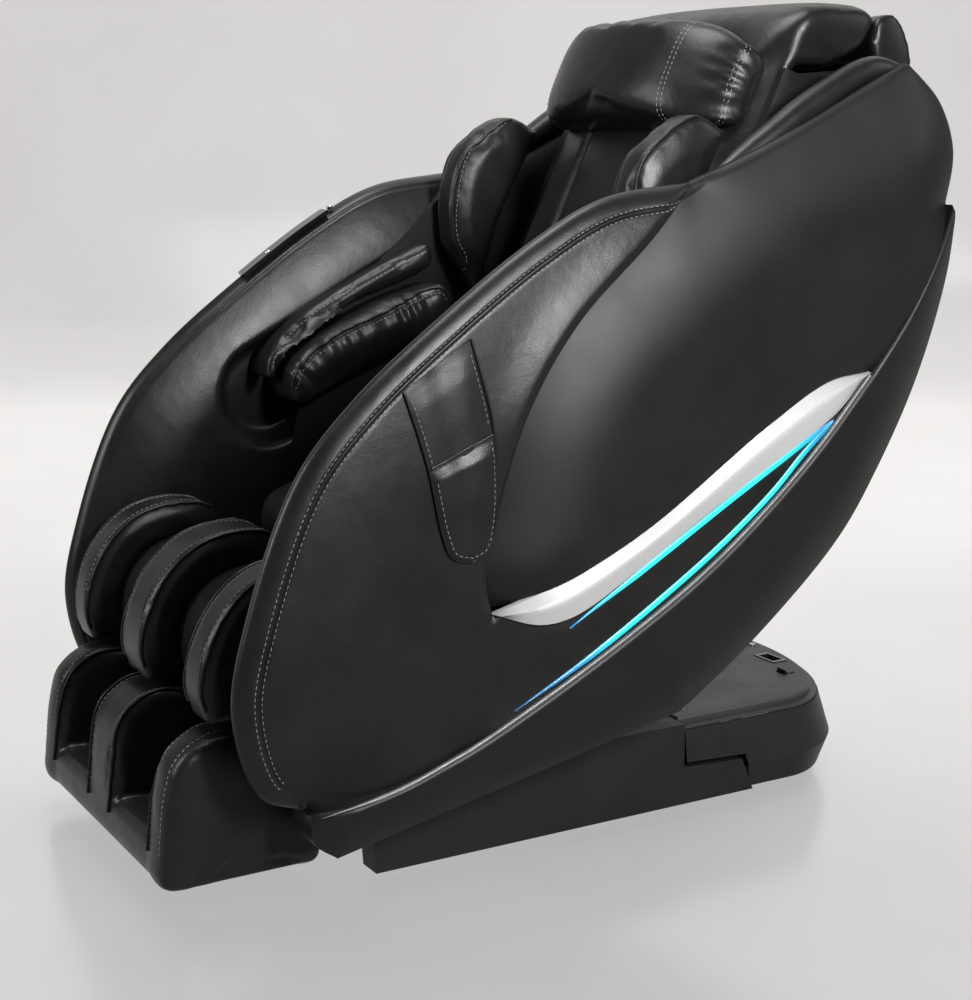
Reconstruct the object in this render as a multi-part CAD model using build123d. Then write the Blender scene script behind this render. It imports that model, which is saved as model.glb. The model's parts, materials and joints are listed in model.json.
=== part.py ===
from build123d import *
import os
from math import atan2, cos, degrees, hypot, radians, sin

# A zero-gravity massage chair. Millimetres, +Z up, floor at Z = 0, the sitter looks along -Y and
# the sitter's left hand is on +X. Outlines are drawn in side view as (y, z) and given a width in x.

# ------------------------------------------------------------------ driving dimensions
FRONT = -630.0                  # toe of the foot unit
REAR = 630.0                    # back of the side shells
HALF_WIDTH = 388.0              # outermost face of the side shells
GAP = 0.5                       # clearance between neighbouring fixed pieces

BASE_HALF_WIDTH = 300.0
BASE_BOTTOM = 22.0
BASE_TOP = 150.0
NOSE_REAR = 600.0               # rear of the base
COVER_WALL = 4.0

TILT_PIVOT = (20.0, 200.0)      # the seat assembly tilts on the base about this line
HIP_PIVOT = (100.0, 360.0)      # the backrest reclines about this line
KNEE_PIVOT = (-315.0, 395.0)    # the leg rest swings about this line
BACK_LEAN = 25.0                # degrees of the backrest from upright
LEG_LEAN = 15.0                 # degrees of the foot unit's slide from vertical
SHAFT_RADIUS = 8.0
SHAFT_CLEARANCE = 0.06

INSIDE_HALF_WIDTH = 288.0       # inner face of the side assemblies
MOVING_HALF_WIDTH = 283.0       # widest piece that swings between them
ARM_LINER_OUT = 316.0
ARM_PANEL_OUT = 374.0
SILL_OUT = 384.0
ARM_PADDING = 20.0
FRAME_INNER = 198.0             # seat frame's long tubes, inner and outer face
FRAME_OUTER = 228.0
LUG_THICKNESS = 8.0

# ------------------------------------------------------------------ side outlines
FRONT_TIP = (-455, 152)
CREASE_TOP = (140, 945)
TRIM_FRONT = (-188, 384)
TRIM_REAR = (450, 668)
RIDGE_TOP = (REAR - 9, 905)
PANEL_CORNER = (-235, 204)
LEAF_FRONT = [FRONT_TIP, (-515, 180), (-549, 295), (-525, 416), (-455, 587), (-372, 681),
              (-252, 776), (-108, 873), (0, 925), CREASE_TOP]
CREASE = [CREASE_TOP, (62, 871), (-58, 765), (-134, 655), (-178, 520), (-198, 434), TRIM_FRONT]
PETAL_TOP = [CREASE_TOP, (237, 980), (342, 1026), (461, 1082), (530, 1112)]
PETAL_REAR = [(530, 1112), (594, 1060), (REAR - 3, 990), RIDGE_TOP]
RIDGE_LOW = [FRONT_TIP, (-339, 170), PANEL_CORNER]
RIDGE_HIGH = [TRIM_REAR, (520, 752), (575, 830), RIDGE_TOP]
TRIM_UPPER = [TRIM_FRONT, (-92, 411), (55, 475), (265, 605), (375, 660), TRIM_REAR]
TRIM_LOWER = [TRIM_FRONT, (-115, 361), (-59, 367), (39, 416), (175, 493), (316, 568),
              (392, 612), TRIM_REAR]
PANEL_FRONT = [PANEL_CORNER, (-228, 300), TRIM_FRONT]
LEAF_REAR = [RIDGE_TOP, (606, 800), (557, 654), (485, 519), (412, 417), (251, 278), (129, 196)]
LEAF_BOTTOM = [(129, 196), (-418, 86)]
LEAF_NOSE = [(-418, 86), (-450, 112), FRONT_TIP]
LIGHT_UPPER = [(-165, 338), (-50, 352), (60, 408), (190, 482), (310, 550), (360, 580)]
LIGHT_LOWER = [(360, 580), (300, 536), (142, 422), (-26, 315), (-165, 262)]
LIGHT_WIDTH = 6.0


# ------------------------------------------------------------------ shape helpers
def curve(points):
    """A smooth side-view edge through the points, or a straight one through two."""
    if len(points) == 2:
        return Polyline(*points)
    return Spline(*points)


def outline(*edges):
    """A closed face in (y, z) from point lists that meet end to end."""
    pieces = []
    for edge in edges:
        pieces += curve(edge).edges()
    return Plane.YZ * make_face(pieces)


def polygon(points):
    """A closed face in (y, z) with straight sides."""
    return Plane.YZ * make_face(Polyline(*points, close=True))


def plate(face, x_low, x_high):
    """The side-view face given a width from x_low to x_high."""
    return Pos(x_low, 0, 0) * extrude(face, x_high - x_low, dir=(1, 0, 0))


def block(x_low, x_high, y_low, y_high, z_low, z_high):
    """A box from its limits."""
    middle = ((x_low + x_high) / 2, (y_low + y_high) / 2, (z_low + z_high) / 2)
    return Pos(*middle) * Box(x_high - x_low, y_high - y_low, z_high - z_low)


def rod_x(centre, radius, x_low, x_high):
    """A round bar along X, centred on the (y, z) point."""
    bar = Rot(0, 90, 0) * Cylinder(radius, x_high - x_low)
    return Pos((x_low + x_high) / 2, centre[0], centre[1]) * bar


def rod_between(start, end, radius, x=0.0):
    """A round bar between two (y, z) points in the plane at x."""
    length = hypot(end[0] - start[0], end[1] - start[1])
    tilt = degrees(atan2(end[1] - start[1], end[0] - start[0]))
    bar = Pos(0, length / 2, 0) * Rot(90, 0, 0) * Cylinder(radius, length)
    return Pos(x, start[0], start[1]) * Rot(tilt, 0, 0) * bar


def tray(face, hollow, x_inner, x_outer, wall):
    """A shell with an outer wall, open towards the chair's middle over the hollow face."""
    return plate(face, x_inner, x_outer) - plate(hollow, x_inner - 1, x_outer - wall)


def lifted(points, start, end, lift, count=6):
    """Points on the smooth edge between two shares of its length, moved to its left side."""
    edge = curve(points)
    moved = []
    for step in range(count):
        share = start + (end - start) * step / (count - 1)
        point, along = edge @ share, edge % share
        moved.append((point.X - along.Y * lift, point.Y + along.X * lift))
    return moved


def mirrored(shape):
    """The same piece for the sitter's right side."""
    return mirror(shape, about=Plane.YZ)


def group(*shapes):
    """Separate solids kept in one node."""
    solids = []
    for shape in shapes:
        solids += list(shape.solids())
    return Compound(children=solids)


def towards(origin, lean, along, forward):
    """A (y, z) point measured along a line that leans back from upright, and forward of it."""
    angle = radians(lean)
    y = origin[0] + along * sin(angle) - forward * cos(angle)
    z = origin[1] + along * cos(angle) + forward * sin(angle)
    return (y, z)


def on_back(along, forward):
    """A (y, z) point measured up the backrest from the hip pivot and forward of it."""
    return towards(HIP_PIVOT, BACK_LEAN, along, forward)


# ------------------------------------------------------------------ base
NOSE_SIDE_END = 400.0
SEAM_Y = 190.0
NOSE_BULGE_Z = 64.0
DECK_INSET = 14.0
SIDE_COVER_DEPTH = 40.0
BRACKET_X = 216.0
WHEEL_RADIUS = 24.0
WHEEL_CENTRE = (500.0, 26.0)
WHEEL_X = 190.0
PLATE_TOP = 30.0


def nose_plan(half_width, rear):
    """Plan view of the rounded rear of the base."""
    nose = EllipticalCenterArc((0, NOSE_SIDE_END), half_width, rear - NOSE_SIDE_END, arc_size=180)
    start = Polyline((-half_width, NOSE_SIDE_END), (-half_width, SEAM_Y),
                     (half_width, SEAM_Y), (half_width, NOSE_SIDE_END))
    return make_face(nose.edges() + start.edges())


def nose_body(wall, overrun):
    """The rear of the base as a closed form, less a wall and run past its ends."""
    bottom = Pos(0, 0, BASE_BOTTOM - overrun) * nose_plan(288.0 - wall, 578.0 - wall)
    middle = Pos(0, 0, NOSE_BULGE_Z) * nose_plan(BASE_HALF_WIDTH - wall, NOSE_REAR - wall)
    top = Pos(0, 0, BASE_TOP - 16 + overrun) * nose_plan(290.0 - wall, 568.0 - wall)
    return loft([bottom, middle], ruled=True) + loft([middle, top], ruled=True)


def side_cover():
    """Left cover of the base, cut away where the rear cover starts."""
    face = polygon([(-330, BASE_BOTTOM), (318, BASE_BOTTOM), (296, 74), (186, 80),
                    (186, BASE_TOP - 2), (-120, BASE_TOP - 2), (-335, 84)])
    hollow = polygon([(-326, 26), (306, 26), (292, 70), (182, 76), (182, BASE_TOP - 6),
                      (-119, BASE_TOP - 6), (-330, 82)])
    inner = BASE_HALF_WIDTH - SIDE_COVER_DEPTH
    return tray(face, hollow, inner, BASE_HALF_WIDTH, COVER_WALL)


def rear_cover():
    """Shell round the rear of the base, open below, above and in front."""
    low_side = plate(polygon([(180, 0), (326, 0), (304, 80), (180, 86)]), -310, 310)
    hollow = block(-310, 310, 180, SEAM_Y + COVER_WALL, 0, 200)
    shell = nose_body(0, 0) - nose_body(COVER_WALL, 1)
    wheel_gaps = [block(x - 18, x + 18, 466, 534, 0, 60) for x in (-WHEEL_X, WHEEL_X)]
    return shell - low_side - hollow - wheel_gaps[0] - wheel_gaps[1]


def deck():
    """Flat lid over the rear of the base, with the recess for the inlet and the switch."""
    flange = extrude(Pos(0, 0, BASE_TOP - 15.5) * nose_plan(287.0, 565.0), 5)
    lid = extrude(Pos(0, 0, BASE_TOP - 11) * nose_plan(290.0 - DECK_INSET, 568.0 - DECK_INSET), 11)
    lid = flange + fillet(lid.faces().sort_by(Axis.Z)[-1].edges(), 4)
    holes = [block(72, 126, 496, 526, 0, 200), block(161, 185, 469.5, 492.5, 0, 200)]
    return lid - holes[0] - holes[1]


def base_frame():
    """Pressed steel floor plate with welded pivot brackets."""
    pan = block(-235, 235, -300, 455, BASE_BOTTOM, PLATE_TOP)
    brackets = []
    for x in (-BRACKET_X, BRACKET_X):
        face = polygon([(-70, PLATE_TOP), (110, PLATE_TOP), (45, 222), (-5, 222)])
        bore = rod_x(TILT_PIVOT, SHAFT_RADIUS + SHAFT_CLEARANCE, x - 20, x + 20)
        brackets.append(plate(face, x - 5, x + 5) - bore)
    ears = []
    for x in (-26, 18):
        face = polygon([(-265, PLATE_TOP), (-205, PLATE_TOP), (-225, 96), (-255, 96)])
        ears.append(plate(face, x, x + 8) - rod_x(TILT_MOTOR_PIVOT, 6.3, x - 5, x + 15))
    return group(pan, *brackets, *ears)


def rubber_feet():
    """Turned rubber feet under the floor plate."""
    feet = []
    for x in (-200, 200):
        for y in (-265, 60, 400):
            feet.append(Pos(x, y, BASE_BOTTOM / 2) * Cylinder(24, BASE_BOTTOM))
    return group(*feet)


def transport_wheels():
    """Two small wheels pressed on one axle."""
    axle = rod_x(WHEEL_CENTRE, 5, -WHEEL_X - 12, WHEEL_X + 12)
    wheels = axle
    for x in (-WHEEL_X, WHEEL_X):
        tyre = rod_x(WHEEL_CENTRE, WHEEL_RADIUS, x - 9, x + 9)
        wheels += fillet(tyre.edges(), 3)
    return wheels


def power_inlet():
    """Three-pin mains inlet let into the deck."""
    body = block(73, 125, 497, 525, 118, BASE_TOP + 1.5)
    socket = block(80, 118, 501, 521, 128, BASE_TOP + 10)
    pins = [block(x - 1, x + 1, 508, 515, 126, 144) for x in (89, 99, 109)]
    return body - socket + pins[0] + pins[1] + pins[2]


SWITCH_PIVOT = (481.0, 143.0)


def power_switch():
    """Rocker in the deck, pivoted across its middle."""
    face = polygon([(474, 138), (488, 138), (489.5, 153), (481, 150), (472.5, 157)])
    return plate(face, 163, 183) + rod_x(SWITCH_PIVOT, 2, 161.5, 184.5)


def deck_screws():
    """Countersunk screws that hold the deck down."""
    screws = []
    for x, y in ((-235, 230), (235, 230), (-150, 515), (20, 535)):
        head = Pos(x, y, BASE_TOP + 1.2) * Cylinder(6, 2)
        slot = Pos(x, y, BASE_TOP + 2) * Box(8, 1.6, 1.6)
        screws.append(head - slot)
    return group(*screws)


def power_supply():
    """Transformer and control box on the floor plate."""
    body = block(-180, -20, 250, 440, PLATE_TOP + GAP, 112)
    fins = [block(-180, -20, y, y + 4, 112, 118) for y in range(260, 431, 14)]
    for fin in fins:
        body += fin
    return body


# ------------------------------------------------------------------ linear motors
TILT_MOTOR_PIVOT = (-240.0, 80.0)
TILT_EYE = (-150.0, 262.0)
RECLINE_MOTOR_PIVOT = (-150.0, 262.0)
RECLINE_EYE = (120.0, 268.0)
LEG_MOTOR_PIVOT = (-60.0, 215.0)
LEG_EYE = (-335.0, 325.0)
TILT_MOTOR_X = 0.0
RECLINE_MOTOR_X = 110.0
LEG_MOTOR_X = -110.0
BARREL_RADIUS = 14.5
EYE_PIN_RADIUS = 5.0
EYE_BORE_RADIUS = 14.0


def along_line(start, end, distance):
    """The point at a distance from start on the way to end."""
    share = distance / hypot(end[0] - start[0], end[1] - start[1])
    return (start[0] + (end[0] - start[0]) * share, start[1] + (end[1] - start[1]) * share)


def motor_body(pivot, eye, x, length):
    """Pivoted motor barrel with its gearbox, bored for the push rod."""
    barrel = rod_between(pivot, along_line(pivot, eye, length), BARREL_RADIUS, x)
    trunnion = rod_x(pivot, 6, x - 34, x + 34)
    knuckle = rod_x(pivot, 15, x - 13, x + 13)
    bore = rod_between(along_line(pivot, eye, 24), along_line(pivot, eye, length + 5), 8.3, x)
    return barrel + trunnion + knuckle - bore


def push_rod(pivot, eye, x, start):
    """Push rod with the wide eye that takes the driven pin."""
    stem_end = along_line(eye, pivot, EYE_BORE_RADIUS + 2)
    rod = rod_between(along_line(pivot, eye, start), stem_end, 8, x)
    ring = rod_x(eye, EYE_BORE_RADIUS + 5, x - 5, x + 5)
    return rod + ring - rod_x(eye, EYE_BORE_RADIUS, x - 20, x + 20)


def driven_pin(eye, x):
    """The cross pin that a push rod moves, held between two ears."""
    return rod_x(eye, EYE_PIN_RADIUS, x - 14, x + 14)


def ear_pair(points, x, gap=10.0, thickness=6.0):
    """Two matching ears either side of x."""
    face = polygon(points)
    return [plate(face, x - gap - thickness, x - gap), plate(face, x + gap, x + gap + thickness)]


# ------------------------------------------------------------------ seat frame and seat
CROSS_TUBES = (-150.0, -60.0, 176.0)
CROSS_LOW = 285.0
CROSS_HIGH = 310.0
RAIL_HIGH = 345.0


def seat_frame():
    """Welded tube frame that carries the seat, the sides, the backrest and the leg rest."""
    parts = []
    for y in CROSS_TUBES:
        parts.append(block(-287, 287, y - 14, y + 14, CROSS_LOW, CROSS_HIGH)
                     - block(-290, 290, y - 11, y + 11, CROSS_LOW + 3, CROSS_HIGH - 3))
    hip = polygon([(50, 310), (150, 310), (125, 376), (75, 376)])
    knee = polygon([(-285, 310), (-240, 310), (-240, 345), (-272, 350), (-300, 411),
                    (-328, 411), (-335, 404), (-335, 384)])
    tilt = polygon([(-15, 310), (55, 310), (36, 184), (4, 184)])
    bore = SHAFT_RADIUS + SHAFT_CLEARANCE
    for side in (-1, 1):
        rail = block(FRAME_INNER, FRAME_OUTER, -285, 190, CROSS_HIGH, RAIL_HIGH)
        rail -= block(FRAME_INNER + 3, FRAME_OUTER - 3, -290, 195, CROSS_HIGH + 3, RAIL_HIGH - 3)
        lug_out = FRAME_OUTER + LUG_THICKNESS
        hip_lug = plate(hip, FRAME_OUTER, lug_out) - rod_x(HIP_PIVOT, bore, 200, 260)
        knee_lug = plate(knee, FRAME_OUTER, lug_out) - rod_x(KNEE_PIVOT, bore, 200, 260)
        tilt_lug = plate(tilt, 186, 196) - rod_x(TILT_PIVOT, bore, 180, 210)
        for piece in (rail, hip_lug, knee_lug, tilt_lug):
            parts.append(piece if side > 0 else mirrored(piece))
    tilt_pin = driven_pin(TILT_EYE, TILT_MOTOR_X)
    for ear in ear_pair([(-164, 285), (-136, 285), (-140, 252), (-160, 252)], TILT_MOTOR_X):
        parts.append(ear - tilt_pin)
    parts.append(tilt_pin)
    for centre, x in ((RECLINE_MOTOR_PIVOT, RECLINE_MOTOR_X), (LEG_MOTOR_PIVOT, LEG_MOTOR_X)):
        y, z = centre
        face = polygon([(y - 13, 285), (y + 13, 285), (y + 11, z - 12), (y - 11, z - 12)])
        for x_low in (x - 28, x + 20):
            parts.append(plate(face, x_low, x_low + 8) - rod_x(centre, 6.5, x_low - 5, x_low + 15))
    return group(*parts)


def seat_cushion():
    """Padded seat between the arms."""
    face = outline([(-250, 352), (-262, 400), (-250, 445), (-205, 462)],
                   [(-205, 462), (-80, 446), (20, 425)],
                   [(20, 425), (42, 400), (40, 352)],
                   [(40, 352), (-250, 352)])
    return plate(face, -MOVING_HALF_WIDTH, MOVING_HALF_WIDTH)


# ------------------------------------------------------------------ side assemblies
def arm_face():
    """Side outline of the leather arm, from the toe of the side to the crease."""
    low_edge = [PANEL_CORNER, (-339, 170), FRONT_TIP]
    return outline(LEAF_FRONT, CREASE, PANEL_FRONT[::-1], low_edge)


def shell_face():
    """Side outline of the textured rear shell."""
    return outline(PETAL_TOP, PETAL_REAR, RIDGE_HIGH[::-1], TRIM_UPPER[::-1], CREASE[::-1])


def sill_face():
    """Side outline of the lower moulding, with the light panel and the sill below its ridge."""
    return outline(RIDGE_LOW, PANEL_FRONT, TRIM_LOWER, RIDGE_HIGH, LEAF_REAR, LEAF_BOTTOM,
                   LEAF_NOSE)


def arm_panel():
    """Padded leather outer side of the arm."""
    hollow = outline([(-440, 182), (-500, 210), (-525, 300), (-500, 415)],
                     [(-500, 415), (-435, 575), (-350, 665), (-235, 755), (-95, 848), (20, 895)],
                     [(20, 895), (-80, 785), (-160, 665), (-200, 530), (-222, 434)],
                     [(-222, 434), (-212, 384), (-250, 300), (-262, 224)],
                     [(-262, 224), (-440, 182)])
    return tray(arm_face(), hollow, ARM_LINER_OUT + GAP, ARM_PANEL_OUT, ARM_PADDING)


def arm_liner():
    """Leather-covered inner side of the arm."""
    return plate(arm_face(), INSIDE_HALF_WIDTH, ARM_LINER_OUT)


def rear_shell():
    """Textured plastic shell beside the backrest, hollow on the side towards the sitter."""
    hollow = outline([(120, 900), (-20, 770), (-100, 655), (-150, 520), (-160, 440)],
                     [(-160, 440), (40, 500), (260, 618), (420, 690)],
                     [(420, 690), (530, 790), (590, 890), (594, 980)],
                     [(594, 980), (560, 1050), (500, 1076)],
                     [(500, 1076), (340, 1004), (120, 900)])
    return tray(shell_face(), hollow, INSIDE_HALF_WIDTH, HALF_WIDTH, COVER_WALL)


def sill_panel():
    """Lower side moulding, hollow on the side towards the base."""
    hollow = outline([(-400, 140), (-200, 190), (0, 285), (200, 405)],
                     [(200, 405), (250, 300)], [(250, 300), (120, 216)],
                     [(120, 216), (-390, 106)], [(-390, 106), (-400, 140)])
    return tray(sill_face(), hollow, INSIDE_HALF_WIDTH + 16, SILL_OUT, COVER_WALL)


def silver_trim():
    """Bright blade between the rear shell and the light panel."""
    blade = plate(outline(TRIM_UPPER, TRIM_LOWER[::-1]), HALF_WIDTH - 24, HALF_WIDTH - 2)
    blade -= block(350, 400, -300, TRIM_FRONT[0] + 8, 300, 500)
    return blade - block(350, 400, TRIM_REAR[0] - 12, 600, 500, 800)


def led_strip():
    """Light guide that follows the light panel's edge and meets in a point at the rear."""
    lens = outline(LIGHT_UPPER, LIGHT_LOWER, [LIGHT_LOWER[-1], LIGHT_UPPER[0]])
    ring = plate(lens, SILL_OUT + 0.2, SILL_OUT + 2.2)
    upper = lifted(LIGHT_UPPER, 0, 0.72, -LIGHT_WIDTH)
    lower = lifted(LIGHT_LOWER, 0.28, 1, -LIGHT_WIDTH)
    core = outline(upper, [upper[-1], lower[0]], lower, [lower[-1], upper[0]])
    ring -= plate(core, SILL_OUT - 1, SILL_OUT + 4)
    return ring - block(300, 400, -200, -150, 200, 400)


POCKET_MOUTH_Z = 585.0
POCKET_BACK = ARM_PANEL_OUT + 0.3


def remote_pocket():
    """Leather strap on the left arm whose lower half is a pocket for the remote control."""
    face = outline([(-217, 752), (-314, 690)], [(-314, 690), (-286, 592), (-266, 500)],
                   [(-266, 500), (-252, 468), (-224, 460), (-198, 472), (-189, 505)],
                   [(-189, 505), (-190, 620), (-217, 752)])
    strap = plate(face, POCKET_BACK, POCKET_BACK + 3)
    pouch = plate(face, POCKET_BACK + 3, POCKET_BACK + 12.5)
    pouch -= block(350, 400, -400, 0, POCKET_MOUTH_Z, 800)
    inside = outline([(-220, 735), (-298, 690)], [(-298, 690), (-277, 592), (-257, 505)],
                     [(-257, 505), (-246, 477), (-224, 469), (-205, 479), (-197, 507)],
                     [(-197, 507), (-198, 615), (-220, 735)])
    cavity = plate(inside, POCKET_BACK + 3, POCKET_BACK + 10.5)
    return strap + (pouch - cavity)


def arm_pad_upper():
    """Air-bag pad above the sitter's forearm."""
    face = outline([(-238, 622), (-232, 660), (-168, 728)], [(-168, 728), (-40, 792), (62, 838)],
                   [(62, 838), (72, 815), (66, 790)], [(66, 790), (-60, 750), (-154, 712)],
                   [(-154, 712), (-208, 664), (-223, 622)], [(-223, 622), (-238, 622)])
    return plate(face, 246, INSIDE_HALF_WIDTH - GAP)


def arm_pad_lower():
    """Air-bag pad that closes on the sitter's forearm from below."""
    face = outline([(-212, 602), (-212, 645), (-148, 700)], [(-148, 700), (-40, 742), (74, 776)],
                   [(74, 776), (92, 740), (78, 690)], [(78, 690), (-60, 640), (-180, 585)],
                   [(-180, 585), (-200, 586), (-212, 602)])
    return plate(face, 212, INSIDE_HALF_WIDTH - GAP)


STRIP_START = 0.655             # shares of the arm edge's length
STRIP_END = 0.80
STRIP_HEIGHT = 7.0
STRIP_HALF = 13.0
STRIP_X = -330.0
KEY_RADIUS = 5.0


def control_strip():
    """Raised control strip on the right arm's edge, bored for its two keys."""
    under = lifted(LEAF_FRONT, STRIP_START, STRIP_END, GAP)
    over = lifted(LEAF_FRONT, STRIP_START, STRIP_END, STRIP_HEIGHT)
    face = outline(under, [under[-1], over[-1]], over, [over[0], under[0]])
    strip = plate(face, STRIP_X - STRIP_HALF, STRIP_X + STRIP_HALF)
    for key in (FRONT_KEY, REAR_KEY):
        strip -= key_stem(key, KEY_RADIUS + 0.4, 40)
    return strip


FRONT_KEY = (-192.0, 818.0, 33.0)       # y, z on the arm's edge and the edge's slope in degrees
REAR_KEY = (-82.0, 888.0, 30.5)


def key_stem(key, radius, height):
    """A round bar square to the arm's edge at a key."""
    y, z, slope = key
    return Pos(STRIP_X, y, z) * Rot(slope, 0, 0) * Cylinder(radius, height)


def strip_key(key):
    """Push key with a domed head."""
    y, z, slope = key
    stem = Pos(0, 0, 5.4) * Cylinder(KEY_RADIUS, 5.6)
    stem = fillet(stem.edges().sort_by(Axis.Z)[-1], 1.5)
    return Pos(STRIP_X, y, z) * Rot(slope, 0, 0) * stem


# ------------------------------------------------------------------ backrest
PAD_FRONT = 125.0
PAD_BACK = 50.0
RAIL_X = 118.0


def back_face(points):
    """A straight-sided face given as (along, forward) points of the backrest."""
    return polygon([on_back(*point) for point in points])


def back_plate(points, x_low, x_high):
    """A plate given as (along, forward) points of the backrest."""
    return plate(back_face(points), x_low, x_high)


def backrest_frame():
    """Steel side members on the hip shaft, joined by cross tubes."""
    bore = rod_x(HIP_PIVOT, SHAFT_RADIUS + SHAFT_CLEARANCE, 230, 260)
    upright = back_plate([(-20, -16), (-20, 16), (60, 20), (800, 20), (800, -20), (60, -20)], 240, 248)
    upright -= bore
    parts = [upright, mirrored(upright)]
    for along, back in ((90, -24), (440, -60), (776, -24)):
        low, high = back - 20, along + 24
        parts.append(back_plate([(along, low), (along, back), (high, back), (high, low)], -248, 248))
        foot = back_plate([(along, back), (along, -20), (high, -20), (high, back)], 240, 248)
        parts += [foot, mirrored(foot)]
    y, z = RECLINE_EYE
    for x_low in (RECLINE_MOTOR_X - 16, RECLINE_MOTOR_X + 10):
        face = polygon([on_back(90, -24), on_back(90, -44), (y + 14, z - 12), (y - 12, z - 12),
                        (y - 12, z + 10)])
        parts.append(plate(face, x_low, x_low + 6) - driven_pin(RECLINE_EYE, RECLINE_MOTOR_X))
    parts.append(driven_pin(RECLINE_EYE, RECLINE_MOTOR_X))
    return group(*parts)


def massage_rails():
    """Two pressed channel rails that guide the roller carriage."""
    web = back_plate([(70, -18), (70, 38), (770, 38), (770, -18)], RAIL_X, RAIL_X + 26)
    groove = back_plate([(60, -14), (60, 34), (790, 34), (790, -14)], RAIL_X - 3, RAIL_X + 22)
    rail = web - groove
    return group(rail, mirrored(rail))


def lead_screw():
    """Screw between the rails that lifts the carriage, with its motor at the foot."""
    screw = rod_between(on_back(130, 2), on_back(772, 2), 7)
    motor = rod_between(on_back(66, 2), on_back(130, 2), 26)
    return screw + motor


CARRIAGE_LOW = 170.0
CARRIAGE_HIGH = 300.0
ROLLER_RADIUS = 20.0


def carriage_frame():
    """Carriage plate with the nut on the lead screw and four guide wheels."""
    body = back_plate([(CARRIAGE_LOW, -16), (CARRIAGE_LOW, -10), (CARRIAGE_HIGH, -10),
                       (CARRIAGE_HIGH, -16)], -112, 112)
    nut = back_plate([(215, -10), (215, 14), (255, 14), (255, -10)], -16, 16)
    body += nut
    body -= rod_between(on_back(100, 2), on_back(400, 2), 7.4)
    for side in (-1, 1):
        ears = back_plate([(180, -16), (180, 8), (290, 8), (290, -16)], 104, 112)
        guide = rod_x(on_back(195, 8), 4, 108, 134) + rod_x(on_back(275, 8), 4, 108, 134)
        for along in (195, 275):
            guide += rod_x(on_back(along, 8), 16, 124, 136)
        piece = ears + guide
        body += piece if side > 0 else mirrored(piece)
    return body


def knead_motor():
    """Motor and gearbox behind the carriage plate."""
    box = back_plate([(190, -40), (190, -16.5), (280, -16.5), (280, -40)], -60, 20)
    can = rod_x(on_back(235, -34), 18, 20, 80)
    return box + can


def massage_rollers():
    """Kneading shaft with four rubber rollers."""
    centre = on_back(235, 26)
    shaft = rod_x(centre, 5, -98, 98)
    for x in (-78, -36, 36, 78):
        wheel = rod_x(centre, ROLLER_RADIUS - 1, x - 11, x + 11)
        shaft += fillet(wheel.edges(), 6)
    return shaft


def backrest_pad():
    """Padded backrest, turned over the top of the frame."""
    face = outline([on_back(62, PAD_BACK + 14), on_back(60, PAD_FRONT - 14), on_back(76, PAD_FRONT)],
                   [on_back(76, PAD_FRONT), on_back(450, PAD_FRONT + 2), on_back(780, PAD_FRONT + 2)],
                   [on_back(780, PAD_FRONT + 2), on_back(838, 122), (372, 1196), (460, 1204)],
                   [(460, 1204), (540, 1196), (566, 1176)],
                   [(566, 1176), on_back(880, -72)],
                   [on_back(880, -72), on_back(820, 0), on_back(800, PAD_BACK)],
                   [on_back(800, PAD_BACK), on_back(62, PAD_BACK + 14)])
    return plate(face, -270, 270)


def back_cover():
    """Moulded cover over the back of the frame, open in front."""
    outer = outline([on_back(70, -52), on_back(100, -96), on_back(300, -118)],
                    [on_back(300, -118), on_back(600, -128), on_back(872, -118)],
                    [on_back(872, -118), on_back(872, -76)],
                    [on_back(872, -76), on_back(70, -52)])
    inner = outline([on_back(72, -40), on_back(103, -90), on_back(300, -113)],
                    [on_back(300, -113), on_back(600, -123), on_back(867, -113)],
                    [on_back(867, -113), on_back(867, -60)],
                    [on_back(867, -60), on_back(72, -40)])
    return plate(outer, -270, 270) - plate(inner, -266, 266)


def shoulder_wing():
    """Padded wing that holds the sitter's shoulder from the side."""
    face = outline([on_back(352, PAD_FRONT + 4), (110, 772), (80, 830)],
                   [(80, 830), (76, 900), (98, 980), (150, 1028)],
                   [(150, 1028), (200, 1046), on_back(668, PAD_FRONT + 6)],
                   [on_back(668, PAD_FRONT + 6), on_back(352, PAD_FRONT + 4)])
    return plate(face, 222, MOVING_HALF_WIDTH)


def head_pillow():
    """Loose head cushion strapped to the top of the backrest."""
    face = outline([on_back(640, PAD_FRONT + 8), on_back(622, 180), on_back(650, 226),
                    on_back(740, 240)],
                   [on_back(740, 240), on_back(820, 224), on_back(850, 180),
                    on_back(838, PAD_FRONT + 10)],
                   [on_back(838, PAD_FRONT + 10), on_back(640, PAD_FRONT + 8)])
    return plate(face, -218, 218)


# ------------------------------------------------------------------ leg rest
CALF_HALF_WIDTH = 265.0
CHANNEL_OUTER = 200.0
CHANNEL_INNER = 42.0
SLIDE_X = 222.0
SLIDE_TOP = (-398.0, 350.0)
SLEEVE_LENGTH = 76.0
CALF_FRONT = [(-340, 410), (-354, 448), (-400, 459), (-470, 445), (-520, 405), (-553, 345),
              (-561, 300), (-552, 260)]
CALF_BED = [(-498, 260), (-503, 292), (-493, 347), (-458, 388), (-402, 407), (-340, 402)]
CALF_BACK = [(-340, 388), (-400, 393), (-449, 376), (-480, 341), (-490, 292), (-486, 260)]


def slide_point(distance):
    """A (y, z) point on the foot unit's slide, measured down from its top."""
    return towards(SLIDE_TOP, LEG_LEAN, -distance, 0)


def calf_pad(x_low, x_high):
    """One padded ridge of the calf rest."""
    face = outline(CALF_FRONT, [CALF_FRONT[-1], CALF_BED[0]], CALF_BED, [CALF_BED[-1], CALF_FRONT[0]])
    return plate(face, x_low, x_high)


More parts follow.
